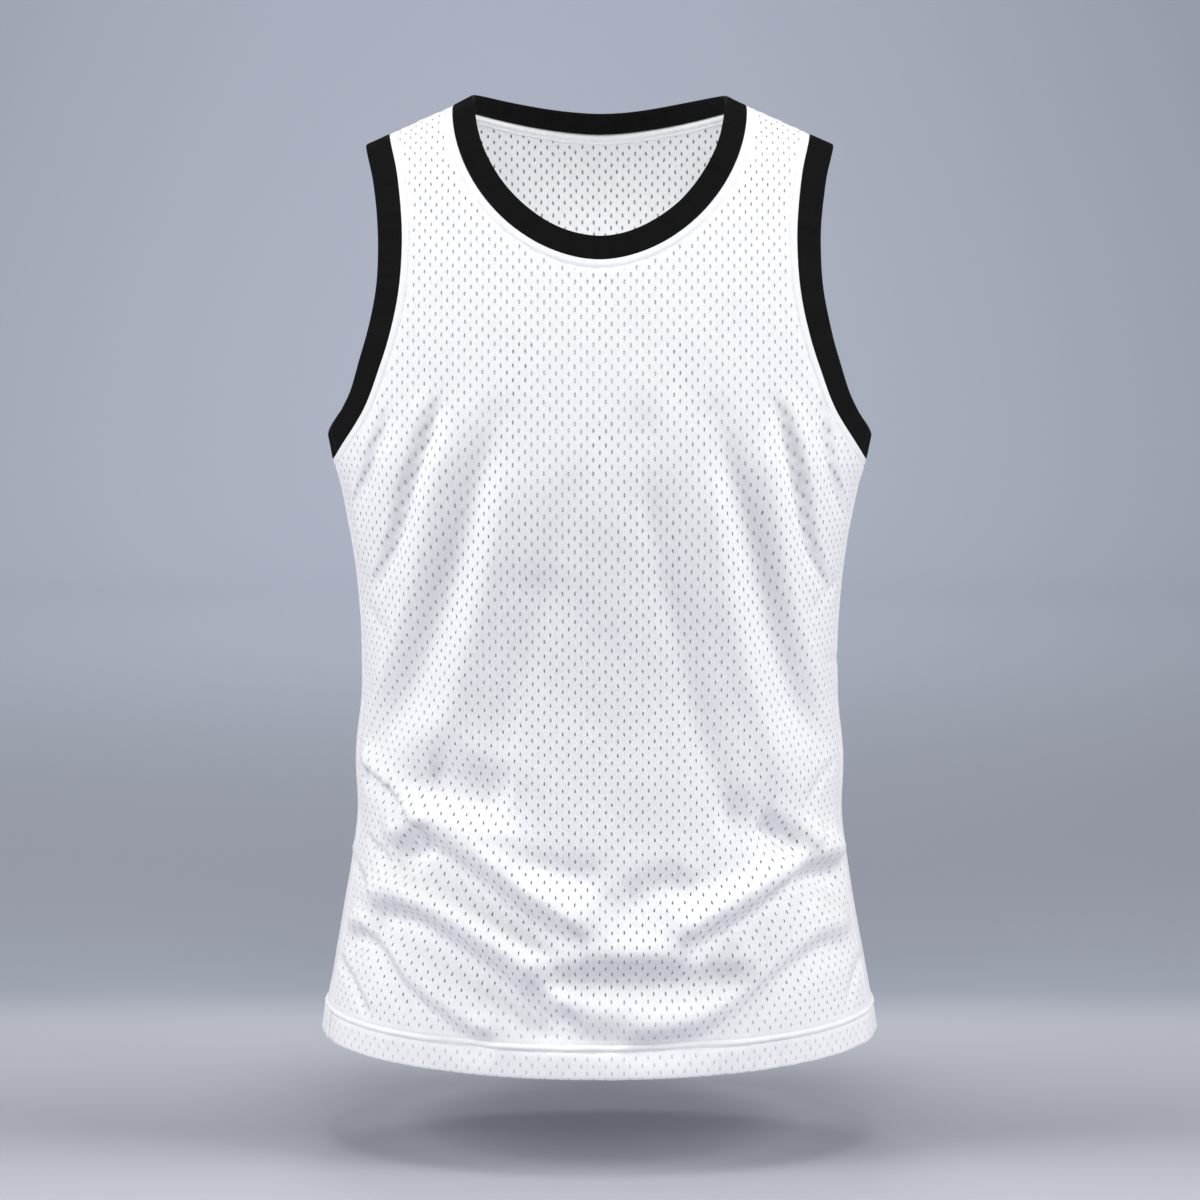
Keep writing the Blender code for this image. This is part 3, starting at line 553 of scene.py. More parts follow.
def armhole_line(back, count=200):
    """Armhole seam from the underarm point up to the shoulder, as angle and height."""
    top = [(SHOULDER_HALF, float(shoulder_line(SHOULDER_HALF)))]
    front = np.array(top + list(ARMHOLE_FRONT))
    behind = np.array(list(ARMHOLE_BACK[::-1]) + top)
    angle = np.concatenate([angle_at(*front.T), [SIDE_SEAM], np.pi - angle_at(*behind.T)])
    height = np.concatenate([front[:, 1], [ARMPIT], behind[:, 1]])
    knots = run_along(body_point(angle, height))
    at = np.linspace(knots[len(front)], knots[-1] if back else 0, count)
    return stacked(smooth_through(knots, angle, at), smooth_through(knots, height, at))


def neck_line(back, count=200):
    """Neck seam from the centre to the top of the shoulder, as angle and height."""
    if back:
        x = NECK_HALF * np.linspace(0, 1, count)
        height = NECK_TOP - NECK_DROP_BACK * (1 - (x / NECK_HALF) ** NECK_BACK_POWER)
    else:
        turn = np.linspace(np.pi / 2, 0, count)
        x = NECK_HALF * np.abs(np.cos(turn)) ** (2 / NECK_FRONT_POWER)
        height = NECK_TOP - NECK_DROP_FRONT * np.sin(turn) ** (2 / NECK_FRONT_POWER)
    turn = angle_at(x, height)
    return stacked(np.pi - turn if back else turn, height)


@functools.lru_cache(None)
def flat_lines(back):
    """The panel's seams on the flat cloth, on the wearer's left half, each read away from the hem."""
    armhole = armhole_line(back)
    neck = neck_line(back)
    x = np.linspace(SHOULDER_HALF, NECK_HALF, 40)
    turn = angle_at(x, shoulder_line(x))
    heights = np.linspace(HEM_TOP + HEM_SIDE_RISE * math.sin(SIDE_SEAM) ** 2, ARMPIT, 200)
    lower = np.linspace(-702, heights[0], 20)
    side = np.full_like(heights, SIDE_SEAM)
    return {
        "side": place_of(side, heights, back),
        "hem side": place_of(np.full_like(lower, SIDE_SEAM), lower, back),
        "armhole": place_of(armhole[:, 0], armhole[:, 1], back),
        "shoulder": place_of(np.pi - turn if back else turn, shoulder_line(x), back),
        "neck": place_of(neck[::-1, 0], neck[::-1, 1], back),
    }


def seam(name, back, step, left=True):
    line = spaced(flat_lines(back)[name], step)
    return line if left else line * [-1, 1]


def whole_neck(back, step):
    """The neck seam from the wearer's left shoulder round to the right one."""
    neck = flat_lines(back)["neck"]
    return spaced(np.concatenate([neck, (neck * [-1, 1])[-2::-1]]), step)


@functools.lru_cache(None)
def cloth_map(back):
    """Points and outward directions of the folded cloth, on even steps of girth and rise."""
    girths, shares, run, hem_run = body_map(back)
    rises = np.arange(*MAP_RISES, MAP_STEP)
    share = read_rows(hem_run - rises[None], run, shares)
    body, _ = body_at(girths[:, None], share, back)
    out = -1.0 if back else 1.0
    outward = unit(np.cross(np.gradient(body, axis=0), np.gradient(body, axis=1))) * out
    height = body[..., 2]
    near = np.broadcast_to(girths[:, None], height.shape)
    far = np.where(near < 0, -1, 1) * (half_round(height) - np.abs(near))
    front, behind = (stacked(part, height) for part in ((far, near) if back else (near, far)))
    lift = (FOLD_SHARE * (folds_lift(front, FRONT_FOLDS, False) + folds_lift(behind, BACK_FOLDS, True))
            + folds_lift(front, FRONT_CREASES, False) + folds_lift(behind, BACK_CREASES, True))
    flanks = folds_lift(front, FRONT_FLANKS, False, True) + folds_lift(behind, BACK_FLANKS, True, True)
    places = stacked(girths[:, None], rises[None])
    calm = np.full(height.shape, np.inf)
    for line in (whole_neck(back, 6), seam("armhole", back, 6), seam("armhole", back, 6, False)):
        calm = np.minimum(calm, nearest(line, places)[0])
    side = np.interp(rises, *seam("side", back, 4).T[::-1])
    beside = np.abs(side[None] - np.abs(near))
    uneven = UNEVEN * waves(11 + back, 90, 40)(near, rises[None])
    lift = (lift + (flanks + uneven) * ease(beside / SIDE_CALM)) * ease(calm / SEAM_CALM)
    points = body + outward * lift[..., None]
    normals = unit(np.cross(np.gradient(points, axis=0), np.gradient(points, axis=1))) * out
    return ClothMap(girths, rises, points, normals, hem_run - run)


def on_cloth(places, back, lift=0.0):
    """Points on the cloth, moved out by a lift, from flat places."""
    cloth = cloth_map(back)
    row = (places[..., 0] - cloth.girths[0]) / MAP_STEP
    column = (places[..., 1] - cloth.rises[0]) / MAP_STEP
    normals = unit(read_table(cloth.normals, row, column))
    return read_table(cloth.points, row, column) + normals * np.asarray(lift)[..., None], normals


# ---------------------------------------------------------------- meshes


def mesh_piece(name, points, faces, kind, replaces=True, flip=False, flat=None, marks=None, sharp=50.0):
    """A piece from points in millimetres: flat places become its UV map, marks its float attributes."""
    mesh = bpy.data.meshes.new(name)
    if flip:
        faces = [face[::-1] for face in faces]
    mesh.from_pydata((np.asarray(points) * MM).tolist(), [], faces)
    mesh.shade_smooth()
    mesh.set_sharp_from_angle(angle=math.radians(sharp))
    if flat is not None:
        corner = np.zeros(len(mesh.loops), int)
        mesh.loops.foreach_get("vertex_index", corner)
        mesh.uv_layers.new(name="cloth").data.foreach_set("uv", (np.asarray(flat) * MM)[corner].ravel())
    for key, values in (marks or {}).items():
        mesh.attributes.new(key, "FLOAT", "POINT").data.foreach_set("value", np.asarray(values, float))
    mesh.materials.append(finish(kind))
    made = bpy.data.objects.new(name + "_cloth" if replaces else name, mesh)
    bpy.context.scene.collection.objects.link(made)
    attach(made, "root")
    if replaces:
        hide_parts(name)
    return made


def tube_faces(count, around, closed):
    """Faces of a closed profile of points carried through count stations, turned with the profile."""
    index = np.arange(count * around).reshape(count, around)
    after = np.roll(index, -1, axis=0) if closed else index[1:]
    index = index if closed else index[:-1]
    faces = stacked(index, np.roll(index, -1, axis=1), np.roll(after, -1, axis=1), after)
    faces = faces.reshape(-1, 4).tolist()
    if not closed:
        last = (count - 1) * around
        faces += [list(range(around))[::-1], list(range(last, last + around))]
    return faces


def tube_piece(name, rings, kind, closed=False, **rest):
    return mesh_piece(name, rings.reshape(-1, 3), tube_faces(*rings.shape[:2], closed), kind, **rest)


# ---------------------------------------------------------------- finishes

def linear(colour):
    """sRGB hex to linear."""
    parts = [int(colour[i:i + 2], 16) / 255 for i in (1, 3, 5)]
    return [part / 12.92 if part <= 0.04045 else ((part + 0.055) / 1.055) ** 2.4 for part in parts]


def add_node(tree, kind, settings=(), **sockets):
    """Adds a node: settings are its properties, sockets its inputs by name or _number, as values or links."""
    node = tree.nodes.new(kind)
    for key, value in dict(settings).items():
        setattr(node, key, value)
    for key, value in sockets.items():
        socket = node.inputs[int(key[1:])] if key[0] == "_" else node.inputs[key.replace("_", " ")]
        if isinstance(value, bpy.types.NodeSocket):
            tree.links.new(value, socket)
        else:
            socket.default_value = value
    return node


def maths(tree, operation, *inputs):
    return add_node(tree, "ShaderNodeMath", {"operation": operation},
                    **{f"_{i}": value for i, value in enumerate(inputs)}).outputs[0]


def map_range(tree, value, low, high, start, end, smooth=False):
    return add_node(tree, "ShaderNodeMapRange", {"interpolation_type": "SMOOTHSTEP" if smooth else "LINEAR"},
                    Value=value, From_Min=low, From_Max=high, To_Min=start, To_Max=end).outputs[0]


def mixed(tree, share, first, second, blend="MIX"):
    return add_node(tree, "ShaderNodeMix", {"data_type": "RGBA", "blend_type": blend}, _0=share, _6=first,
                    _7=second).outputs[2]


def new_material(name, colour, roughness, **shader):
    made = bpy.data.materials.new(name)
    made.use_nodes = True
    tree = made.node_tree
    surface = tree.nodes["Principled BSDF"]
    surface.inputs["Base Color"].default_value = (*colour, 1)
    surface.inputs["Roughness"].default_value = roughness
    for key, value in shader.items():
        surface.inputs[key.replace("_", " ")].default_value = value
    return made, tree, surface


def finish_surface(tree, surface, tint, strength, distance, height):
    """Links the colour and the relief, whose depth is in millimetres, to the shader."""
    tree.links.new(tint, surface.inputs["Base Color"])
    bump = add_node(tree, "ShaderNodeBump", Strength=strength, Distance=distance * MM, Height=height)
    tree.links.new(bump.outputs[0], surface.inputs["Normal"])


def cloth_place(tree):
    """Places across and up the flat cloth, in metres, from the piece's own UV map."""
    place = add_node(tree, "ShaderNodeUVMap", {"uv_map": "cloth"}).outputs[0]
    flat = add_node(tree, "ShaderNodeSeparateXYZ", Vector=place)
    return flat.outputs[0], flat.outputs[1]


def mesh_knit(name, colour, pierced):
    """Polyester pin-hole mesh, warp knitted and heat set: matt white, with fine wales and open ovals.

    The pattern reads the cloth's own UV map, so it follows every hole: columns 4.5 mm apart, holes 10.4 mm
    apart in a column, and every other column half a step on. Round a hole the knit stands up as a pale rim.
    Each hole and a ring round it get a painted shade, as strong as the pierced argument and attribute make
    it.
    """
    made, tree, surface = new_material(name, colour, 0.72, Sheen_Weight=0.15, Sheen_Roughness=0.5,
                                       Specular_IOR_Level=0.25, Subsurface_Weight=0.6,
                                       Subsurface_Scale=1.2 * MM)
    m = functools.partial(maths, tree)
    surface.inputs["Subsurface Radius"].default_value = (1.0, 1.0, 1.0)
    across, up = cloth_place(tree)
    columns = m("DIVIDE", across, COLUMN * MM)
    column = m("ROUND", columns)
    beside = m("MULTIPLY", m("SUBTRACT", columns, column), COLUMN)
    odd = m("FLOORED_MODULO", column, 2.0)
    rows = m("SUBTRACT", m("DIVIDE", up, PITCH * MM), m("MULTIPLY", odd, 0.5))
    above = m("MULTIPLY", m("SUBTRACT", rows, m("ROUND", rows)), PITCH)
    far = m("SQRT", m("ADD", m("POWER", m("DIVIDE", beside, 0.62), 2.0),
                      m("POWER", m("DIVIDE", above, 1.55), 2.0)))
    # per point: where the holes are, how strong their painted shade is, and how high their rims stand
    painted_shade_and_rim = add_node(tree, "ShaderNodeAttribute", {"attribute_name": "pierced"}).outputs["Fac"]
    # an oval a little larger than each hole, which is painted dark: painted shade of the hole
    hole = m("MULTIPLY", map_range(tree, far, 0.85, 1.25, 1.0, 0.0, True), painted_shade_and_rim)
    grain = add_node(tree, "ShaderNodeTexNoise", Vector=add_node(
        tree, "ShaderNodeMapping", Vector=add_node(tree, "ShaderNodeTexCoord").outputs["Object"],
        Scale=(900, 900, 260)).outputs[0], Scale=1.0, Detail=3.0, Roughness=0.6).outputs["Fac"]
    streak = map_range(tree, grain, 0.35, 0.65, 0.955, 1.0)
    # painted shade in and round the holes, laid over the random tone of the grain
    shade = m("MULTIPLY", streak, m("SUBTRACT", 1.0, m("MULTIPLY", hole, pierced)))
    grey = add_node(tree, "ShaderNodeCombineColor", Red=shade, Green=shade, Blue=shade).outputs[0]
    rim = map_range(tree, m("ABSOLUTE", m("SUBTRACT", far, 1.45)), 0.0, 0.5, 1.0, 0.0, True)
    wale = m("SINE", m("MULTIPLY", across, 2 * math.pi / (1.125 * MM)))
    course = m("SINE", m("MULTIPLY", up, 2 * math.pi / (1.04 * MM)))
    knit = m("ADD", m("MULTIPLY", wale, 0.30), m("MULTIPLY", course, 0.14))
    rim = m("MULTIPLY", m("MULTIPLY", rim, painted_shade_and_rim), 1.1)
    relief = m("ADD", rim, m("ADD", knit, m("MULTIPLY", grain, 0.5)))
    relief = m("SUBTRACT", relief, m("MULTIPLY", hole, 1.6))
    finish_surface(tree, surface, mixed(tree, 1.0, (*colour, 1), grey, "MULTIPLY"), 0.55, 0.16, relief)
    return made


def rib_knit(name, colour):
    """Fine 1x1 rib knit, dyed black: matt, its ribs run across the band; a thin grey sheen on them is painted
    into the colour.
    """
    made, tree, surface = new_material(name, colour, 0.66, Sheen_Weight=0.02, Sheen_Roughness=0.45,
                                       Specular_IOR_Level=0.08)
    m = functools.partial(maths, tree)
    surface.inputs["Sheen Tint"].default_value = (0.75, 0.75, 0.8, 1)
    along, across = cloth_place(tree)
    rib = m("SINE", m("MULTIPLY", along, 2 * math.pi / (RIB * MM)))
    loops = m("SINE", m("MULTIPLY", across, 2 * math.pi / (0.9 * MM)))
    speckle = add_node(tree, "ShaderNodeTexNoise", Vector=add_node(
        tree, "ShaderNodeTexCoord").outputs["Object"], Scale=900.0, Detail=2.0).outputs["Fac"]
    painted_sheen_and_speckle = map_range(tree, m("ADD", m("MULTIPLY", rib, 0.35), speckle), 0.1, 0.95, 0.0, 1.0)
    # lighter on the rib crests and darker between: a painted highlight and shade, with random speckled tone
    tint = mixed(tree, painted_sheen_and_speckle, (*[c * 0.55 for c in colour], 1), (*[c * 1.7 for c in colour], 1))
    finish_surface(tree, surface, tint, 0.5, 0.12, m("ADD", m("MULTIPLY", loops, 0.25), speckle))
    return made


def twill_tape(name, colour):
    """Cotton-polyester twill tape, woven and bleached: matt white with a fine slanted grain."""
    made, tree, surface = new_material(name, colour, 0.7, Sheen_Weight=0.2, Specular_IOR_Level=0.3)
    place = add_node(tree, "ShaderNodeTexCoord").outputs["Object"]
    twill = add_node(tree, "ShaderNodeTexWave", {"wave_type": "BANDS", "bands_direction": "DIAGONAL"},
                     Vector=place, Scale=380.0, Distortion=1.2, Detail=1.0).outputs["Fac"]
    tint = mixed(tree, twill, (*[c * 0.9 for c in colour], 1), (*colour, 1))
    finish_surface(tree, surface, tint, 0.5, 0.12, twill)
    return made


@functools.lru_cache(None)
def finish(name):
    white, tape, black, thread = (linear(c) for c in ("#F1F1F4", "#F8F8FA", "#080809", "#F4F4F6"))
    made = {
        # the last number is how strong the painted shade in the holes is
        "mesh": lambda: mesh_knit("polyester pin-hole mesh", white, 0.50),
        "hem": lambda: mesh_knit("polyester pin-hole mesh, turned double", white, 0.30),
        "rib": lambda: rib_knit("fine rib knit, black", black),
        "tape": lambda: twill_tape("twill tape, bleached", tape),
        "thread": lambda: new_material("polyester thread, white", thread, 0.5, Sheen_Weight=0.2)[0],
    }
    return made[name]()


# ---------------------------------------------------------------- panels

MARGIN_BAND, MARGIN_GROOVE = 5.3, 6.5    # width of the raised band beside a binding, and its groove's place


def margin_lift(away, run, seed):
    """Height of the topstitched margin beside a binding: a raised band, a groove at its edge, puckers."""
    band = 0.45 * ease((away + 0.2) / 1.2) * (1 - ease((away - MARGIN_BAND) / 1.0))
    groove = -0.34 * bell(away, MARGIN_GROOVE, 0.75)
    pucker = waves(seed, 16, 5)(run)
    return band + groove + (0.30 * pucker * bell(away, 8.6, 2.2) + 0.12 * pucker * bell(away, 4, 2))


def panel_outline(back, step=2.0):
    """The panel's flat outline, anticlockwise: hem, side seam, armhole, shoulder, neck and back."""
    side, armhole, shoulder = (seam(name, back, step) for name in ("side", "armhole", "shoulder"))
    neck = whole_neck(back, step)
    most = side[0, 0]
    bottom = stacked(np.linspace(-most, most, int(2 * most / 2.25)), 0.0)
    bottom[[0, -1]] = side[0] * [[-1, 1], [1, 1]]
    left = np.concatenate([side[1:], armhole[1:], shoulder[1:-1]])
    return np.concatenate([bottom, left, neck, (left * [-1, 1])[::-1]])


def inside(rim, places):
    """Whether flat places lie inside the outline, by counting the edges to their right."""
    count = np.zeros(len(places), int)
    for a, b in zip(rim, np.roll(rim, -1, axis=0)):
        if a[1] != b[1]:
            rising = (a[1] > places[:, 1]) != (b[1] > places[:, 1])
            count += rising & (places[:, 0] < a[0] + (places[:, 1] - a[1]) * (b[0] - a[0]) / (b[1] - a[1]))
    return count % 2 == 1


MARGINS = (0.8, 2.2, 3.8, 5.2, 6.0, 6.8, 7.8)     # rows of points beside neck and armholes
# Cloth that stays whole beside each seam.
HOLE_CLEAR = {"neck": 9.4, "armhole": 9.4, "shoulder": 7, "side": 3.4, "hem": 3.0}
HOLE_COLUMNS, HOLE_ROWS = 56, 78                # columns to each side of the middle one, and rows of the net
POINT_GAP, EDGE_GAP = 0.62, 0.7                 # the rows' points keep apart, and away from seams and holes
# How far up the cloth a change starts and the length it takes: darker painted shade at the rims, smaller
# holes, tighter cloth.
DEEPER_PAINTED_SHADE, SMALLER, TIGHTER = (230, 170), (300, 160), (560, 100)
WIDTH_LOST, LENGTH_LOST = 0.28, 0.26            # shares of a hole's size
MOST_SHIFT = 0.7


def edge_distances(places, back):
    """Distance of flat places from each seam of the panel, and the length walked along neck and armholes."""
    found = {"neck": nearest(whole_neck(back, 3), places), "hem": (places[:, 1], None)}
    for name in ("armhole", "side", "shoulder"):
        both = [nearest(seam(name, back, 3, left), places) for left in (True, False)]
        closer = both[0][0] < both[1][0]
        found[name] = (np.minimum(both[0][0], both[1][0]), np.where(closer, both[0][1], both[1][1] + 1000))
    return found


def grown(rise, start, length):
    return ease((rise - start) / length)


def hole_pattern(back, rim, corners, hole_width, hole_length):
    """Middles of the holes on the flat cloth, their corners, and the corners as the even pattern has them."""
    rng = np.random.default_rng(31 + back)
    columns = np.arange(-HOLE_COLUMNS, HOLE_COLUMNS + 1)
    column, row = (part.ravel() for part in np.meshgrid(columns, np.arange(HOLE_ROWS)))
    centres = stacked(column * COLUMN, (row + 0.5 * (column % 2)) * PITCH)
    centres = centres[inside(rim, centres)]
    away = edge_distances(centres, back)
    centres = centres[np.all([away[name][0] > gap for name, gap in HOLE_CLEAR.items()], axis=0)]
    high, chest = grown(centres[:, 1], *TIGHTER), grown(centres[:, 1], *SMALLER)
    count = len(centres)
    size = stacked(hole_width * (1 - WIDTH_LOST * chest), hole_length * (1 - LENGTH_LOST * chest)) / 2
    size = size * rng.uniform(0.86, 1.12, (count, 2))
    lean = rng.normal(0, 0.05, count) + rng.normal(0, 0.12, count) * high
    shift = rng.normal(0, 1, (count, 2)) * stacked(0.10 + 0.16 * high, 0.22 + 0.3 * high)
    middles = centres + np.clip(shift, -MOST_SHIFT, MOST_SHIFT)
    if corners == 6:
        ring = np.array([(0, 1), (-1, 0.5), (-1, -0.5), (0, -1), (1, -0.5), (1, 0.5)], float)
    else:
        turn = np.arange(corners) * 2 * np.pi / corners + np.pi / 2
        ring = stacked(np.cos(turn), np.sin(turn))
    local = ring[None] * size[:, None]
    c, s = np.cos(lean)[:, None], np.sin(lean)[:, None]
    turned = stacked(local[..., 0] * c - local[..., 1] * s, local[..., 0] * s + local[..., 1] * c)
    return middles, middles[:, None] + turned, centres[:, None] + local


def margin_points(back, rim, middles, gap):
    """Flat points in rows beside the seams, at least this gap from the middle of a hole."""
    rows = []
    for line in (whole_neck(back, 2.2), seam("armhole", back, 2.2), seam("armhole", back, 2.2, False)):
        rows += [beside_line(line, away * sign)[1:-1] for away in MARGINS for sign in (-1, 1)]
    for name, step, distances in (("shoulder", 2.4, (1.2, 2.6, 4.4)), ("side", 3.0, (1.4,))):
        line = seam(name, back, step)
        rows += [beside_line(line, away * sign)[1:-1] * [mirror, 1]
                 for away in distances for sign in (-1, 1) for mirror in (1, -1)]
    points = np.concatenate(rows)
    points = points[inside(rim, points)]
    closest = np.min([found[0] for found in edge_distances(points, back).values()], axis=0)
    points = points[closest > EDGE_GAP]
    points = points[one_a_cell(points, POINT_GAP)]
    return points[~points_near(points, middles, gap)]


def ring_edges(index):
    """Edges of closed rings of points, one ring to a row."""
    return stacked(index, np.roll(index, -1, axis=-1)).reshape(-1, 2)


def panel_net(back, corners, hole_width, hole_length):
    """Flat points and triangles of a pierced panel, with each point's ideal place in the hole pattern."""
    rim = panel_outline(back)
    middles, holes, ideal = hole_pattern(back, rim, corners, hole_width, hole_length)
    margin = margin_points(back, rim, middles, hole_length / 2 + EDGE_GAP)
    count = len(holes)
    places = np.concatenate([rim, holes.reshape(-1, 2), margin])
    flat = np.concatenate([rim, ideal.reshape(-1, 2), margin])
    owner = np.full(len(places), -1)
    owner[len(rim):len(rim) + count * corners] = np.repeat(np.arange(count), corners)
    rim_edges = ring_edges(np.arange(len(rim)))
    hole_edges = ring_edges(len(rim) + np.arange(count * corners).reshape(count, corners))
    edges = np.concatenate([rim_edges, hole_edges])
    points, _, faces, origins, _, _ = delaunay_2d_cdt(places.tolist(), edges.tolist(), [], 1, 1e-5)
    lost = [tuple(point) for point, origin in zip(points, origins) if not origin]
    if lost:
        raise RuntimeError(f"the flat net of a panel crosses itself near {lost[:6]}")
    triangles = np.array([origin[0] for origin in origins])[np.array(faces)]
    who = owner[triangles]
    triangles = triangles[~((who[:, 0] >= 0) & (who[:, 0] == who[:, 1]) & (who[:, 1] == who[:, 2]))]
    return places, flat, owner, triangles, np.concatenate([rim_edges[:, ::-1], hole_edges])


def cell_keys(points, size):
    """A number for the square cell that holds each flat point."""
    cell = np.floor(points / size).astype(int)
    return cell[:, 0] * 100003 + cell[:, 1]


def one_a_cell(points, size):
    """A mask that keeps the first point of each cell."""
    mask = np.zeros(len(points), bool)
    mask[np.unique(cell_keys(points, size), return_index=True)[1]] = True
    return mask


def points_near(points, centres, gap):
    """Whether each point lies within a distance of any centre, searched in cells of that size."""
    found = np.zeros(len(points), bool)
    cells = cell_keys(centres, gap * 2)
    order = np.argsort(cells)
    cells, centres = cells[order], centres[order]
    for i in (-1, 0, 1):
        for j in (-1, 0, 1):
            key = cell_keys(points + np.array([i, j]) * gap * 2, gap * 2)
            start, stop = np.searchsorted(cells, key), np.searchsorted(cells, key, side="right")
            for k in range(int((stop - start).max(initial=0))):
                at = np.minimum(start + k, len(centres) - 1)
                found |= (start + k < stop) & (np.linalg.norm(centres[at] - points, axis=1) < gap)
    return found


def painted_hole_shade(places, back):
    """How dark the painted shade round the holes is: more so at the chest and neck, where light shows
    through, and in the middle of the front.
    """
    high = grown(places[:, 1], *DEEPER_PAINTED_SHADE)
    middle = bell(places[:, 0], 0, 110)
    if back:
        return 0.6 + 1.15 * high
    return 0.4 + 0.4 * middle * (1 - high) + 1.05 * high * (0.4 + 0.6 * middle)


def make_panel(name, back, corners, sizes):
    hole = sizes.hole_width / MM, sizes.hole_length / MM
    places, flat, owner, triangles, walls = panel_net(back, corners, *hole)
    away = edge_distances(places, back)
    relief = margin_lift(away["neck"][0], away["neck"][1], 41 + back)
    relief += margin_lift(away["armhole"][0], away["armhole"][1], 51 + back)
    relief *= 1 - 0.6 * ease(1 - away["shoulder"][0] / 3)
    _, normals = on_cloth(places, back)
    outer, _ = on_cloth(places, back, CLOTH_HALF + relief)
    inner = outer - normals * (2 * CLOTH_HALF + np.maximum(relief, 0) * 0.4)[:, None]
    count = len(places)
    walls = np.concatenate([walls, walls[:, ::-1] + count], axis=1)
    faces = triangles.tolist() + (triangles[:, ::-1] + count).tolist() + walls[:, ::-1].tolist()
    # the pierced mark carries how strong each hole's painted shade is
    made = mesh_piece(name, np.concatenate([outer, inner]), faces, "mesh", flip=back,
                      flat=np.concatenate([flat, flat]),
                      marks={"pierced": np.tile((owner >= 0) * painted_hole_shade(places, back), 2)})
    shade_as_cloth(made.data, normals, np.minimum(away["neck"][0], away["armhole"][0]), 6 * len(triangles))


def shade_as_cloth(mesh, normals, margin, corners):
    """Gives the knit's faces, but not the hole walls, the smooth cloth's direction away from the margins."""
    found = np.zeros(3 * len(mesh.loops))
    mesh.corner_normals.foreach_get("vector", found)
    found = found.reshape(-1, 3)
    vertex = np.zeros(len(mesh.loops), int)
    mesh.loops.foreach_get("vertex_index", vertex)
    vertex, count = vertex[:corners], len(normals)
    wanted = np.where((vertex < count)[:, None], 1, -1) * normals[vertex % count]
    share = ease((margin[vertex % count] - 9.5) / 2.0)[:, None]
    found[:corners] = unit(wanted * share + found[:corners] * (1 - share))
    mesh.normals_split_custom_set(found.tolist())


# ---------------------------------------------------------------- hem

# drop and lift: down the outside from the seam line, round the fold, up the inside
HEM_PROFILE = np.array((
    (0.0, 0.45), (0.5, 0.62), (1.0, 1.10), (1.6, 1.55), (2.3, 1.83), (3.0, 1.90), (3.7, 1.75), (4.3, 1.38),
    (4.8, 0.85), (5.2, 0.45), (5.6, 0.25), (6.2, 0.42), (7.0, 0.76), (8.4, 0.98), (10.4, 1.02), (12.6, 1.0),
    (14.7, 1.0), (16.2, 0.98), (17.7, 1.0), (19.2, 1.0), (20.7, 1.0), (22.2, 1.02), (23.4, 1.0), (24.4, 0.86),
    (25.2, 0.55), (25.7, 0.1), (25.75, -0.35), (25.2, -0.85), (24.2, -1.1), (21.5, -1.15), (18.0, -1.1),
    (14.0, -1.1), (10.0, -1.15), (7.9, -0.75), (6.5, -1.1), (3.5, -1.05), (1.2, -0.9), (0.0, -0.45),
))
HEM_FOLD = 26               # rows of the profile before the fold


def hem_outside(drop):
    return np.interp(drop, *HEM_PROFILE[:HEM_FOLD].T)


def make_hem(name, back):
    """The doubled lower edge: its profile carried along the hem line, with fine upright stretch lines."""
    side = seam("hem side", back, 1.0)
    share = np.linspace(-1, 1, 340)
    drop, lift = HEM_PROFILE.T
    most = np.interp(-drop, side[:, 1], side[:, 0])
    girth = share[:, None] * most[None]
    rise = np.broadcast_to(-drop[None], girth.shape)
    outside = (lift > 0)[None]
    band = ease((drop - 6) / 2) * ease((25.5 - drop) / 2)
    stretch = 0.10 * waves(61 + back, 5, 2.2)(girth, rise * 0.12) * band
    sway = 0.35 * waves(63 + back, 60, 22)(girth) * ease(drop / 8)
    roll = 0.16 * waves(65 + back, 22, 7)(girth) * bell(drop, 2.9, 2.2)
    relief = np.where(outside, stretch + roll, 0) + sway
    flat = stacked(girth, rise)
    rings, _ = on_cloth(flat, back, lift[None] + relief)
    # painted shade of the holes in the doubled hem, which has none cut: none on the roll, weaker on the
    # inside
    pierced = np.broadcast_to((ease((drop - 6) / 1.5) * np.where(outside[0], 1, 0.4))[None], girth.shape)
    tube_piece(name, rings, "hem", flip=not back, flat=flat.reshape(-1, 2),
               marks={"pierced": pierced.ravel()}, sharp=70.0)


def declare_panel(back):
    """Works out the flat outline of a panel; nothing is made from it."""
    rim = panel_outline(back)


# ---------------------------------------------------------------- bindings

# share across and lift: over the outside, round the free edge, along the inside
BINDING_PROFILE = np.array((
    (-0.045, 0.62), (-0.02, 1.05), (0.03, 1.28), (0.12, 1.30), (0.28, 1.24), (0.45, 1.20), (0.62, 1.20),
    (0.76, 1.22), (0.86, 1.22), (0.905, 1.10), (0.94, 1.18), (0.975, 0.98), (1.0, 0.45), (1.004, -0.2),
    (0.985, -0.8), (0.94, -1.1), (0.8, -1.12), (0.5, -1.05), (0.2, -1.05), (0.0, -1.0), (-0.04, -0.7),
))


def evened(vectors, width):
    """Averages directions along a closed loop with a bell of this many stations."""
    reach = np.fft.fftfreq(len(vectors))[:, None]
    calm = np.exp(-2 * (np.pi * reach * width) ** 2)
    return unit(np.fft.ifft(np.fft.fft(vectors, axis=0) * calm, axis=0).real)


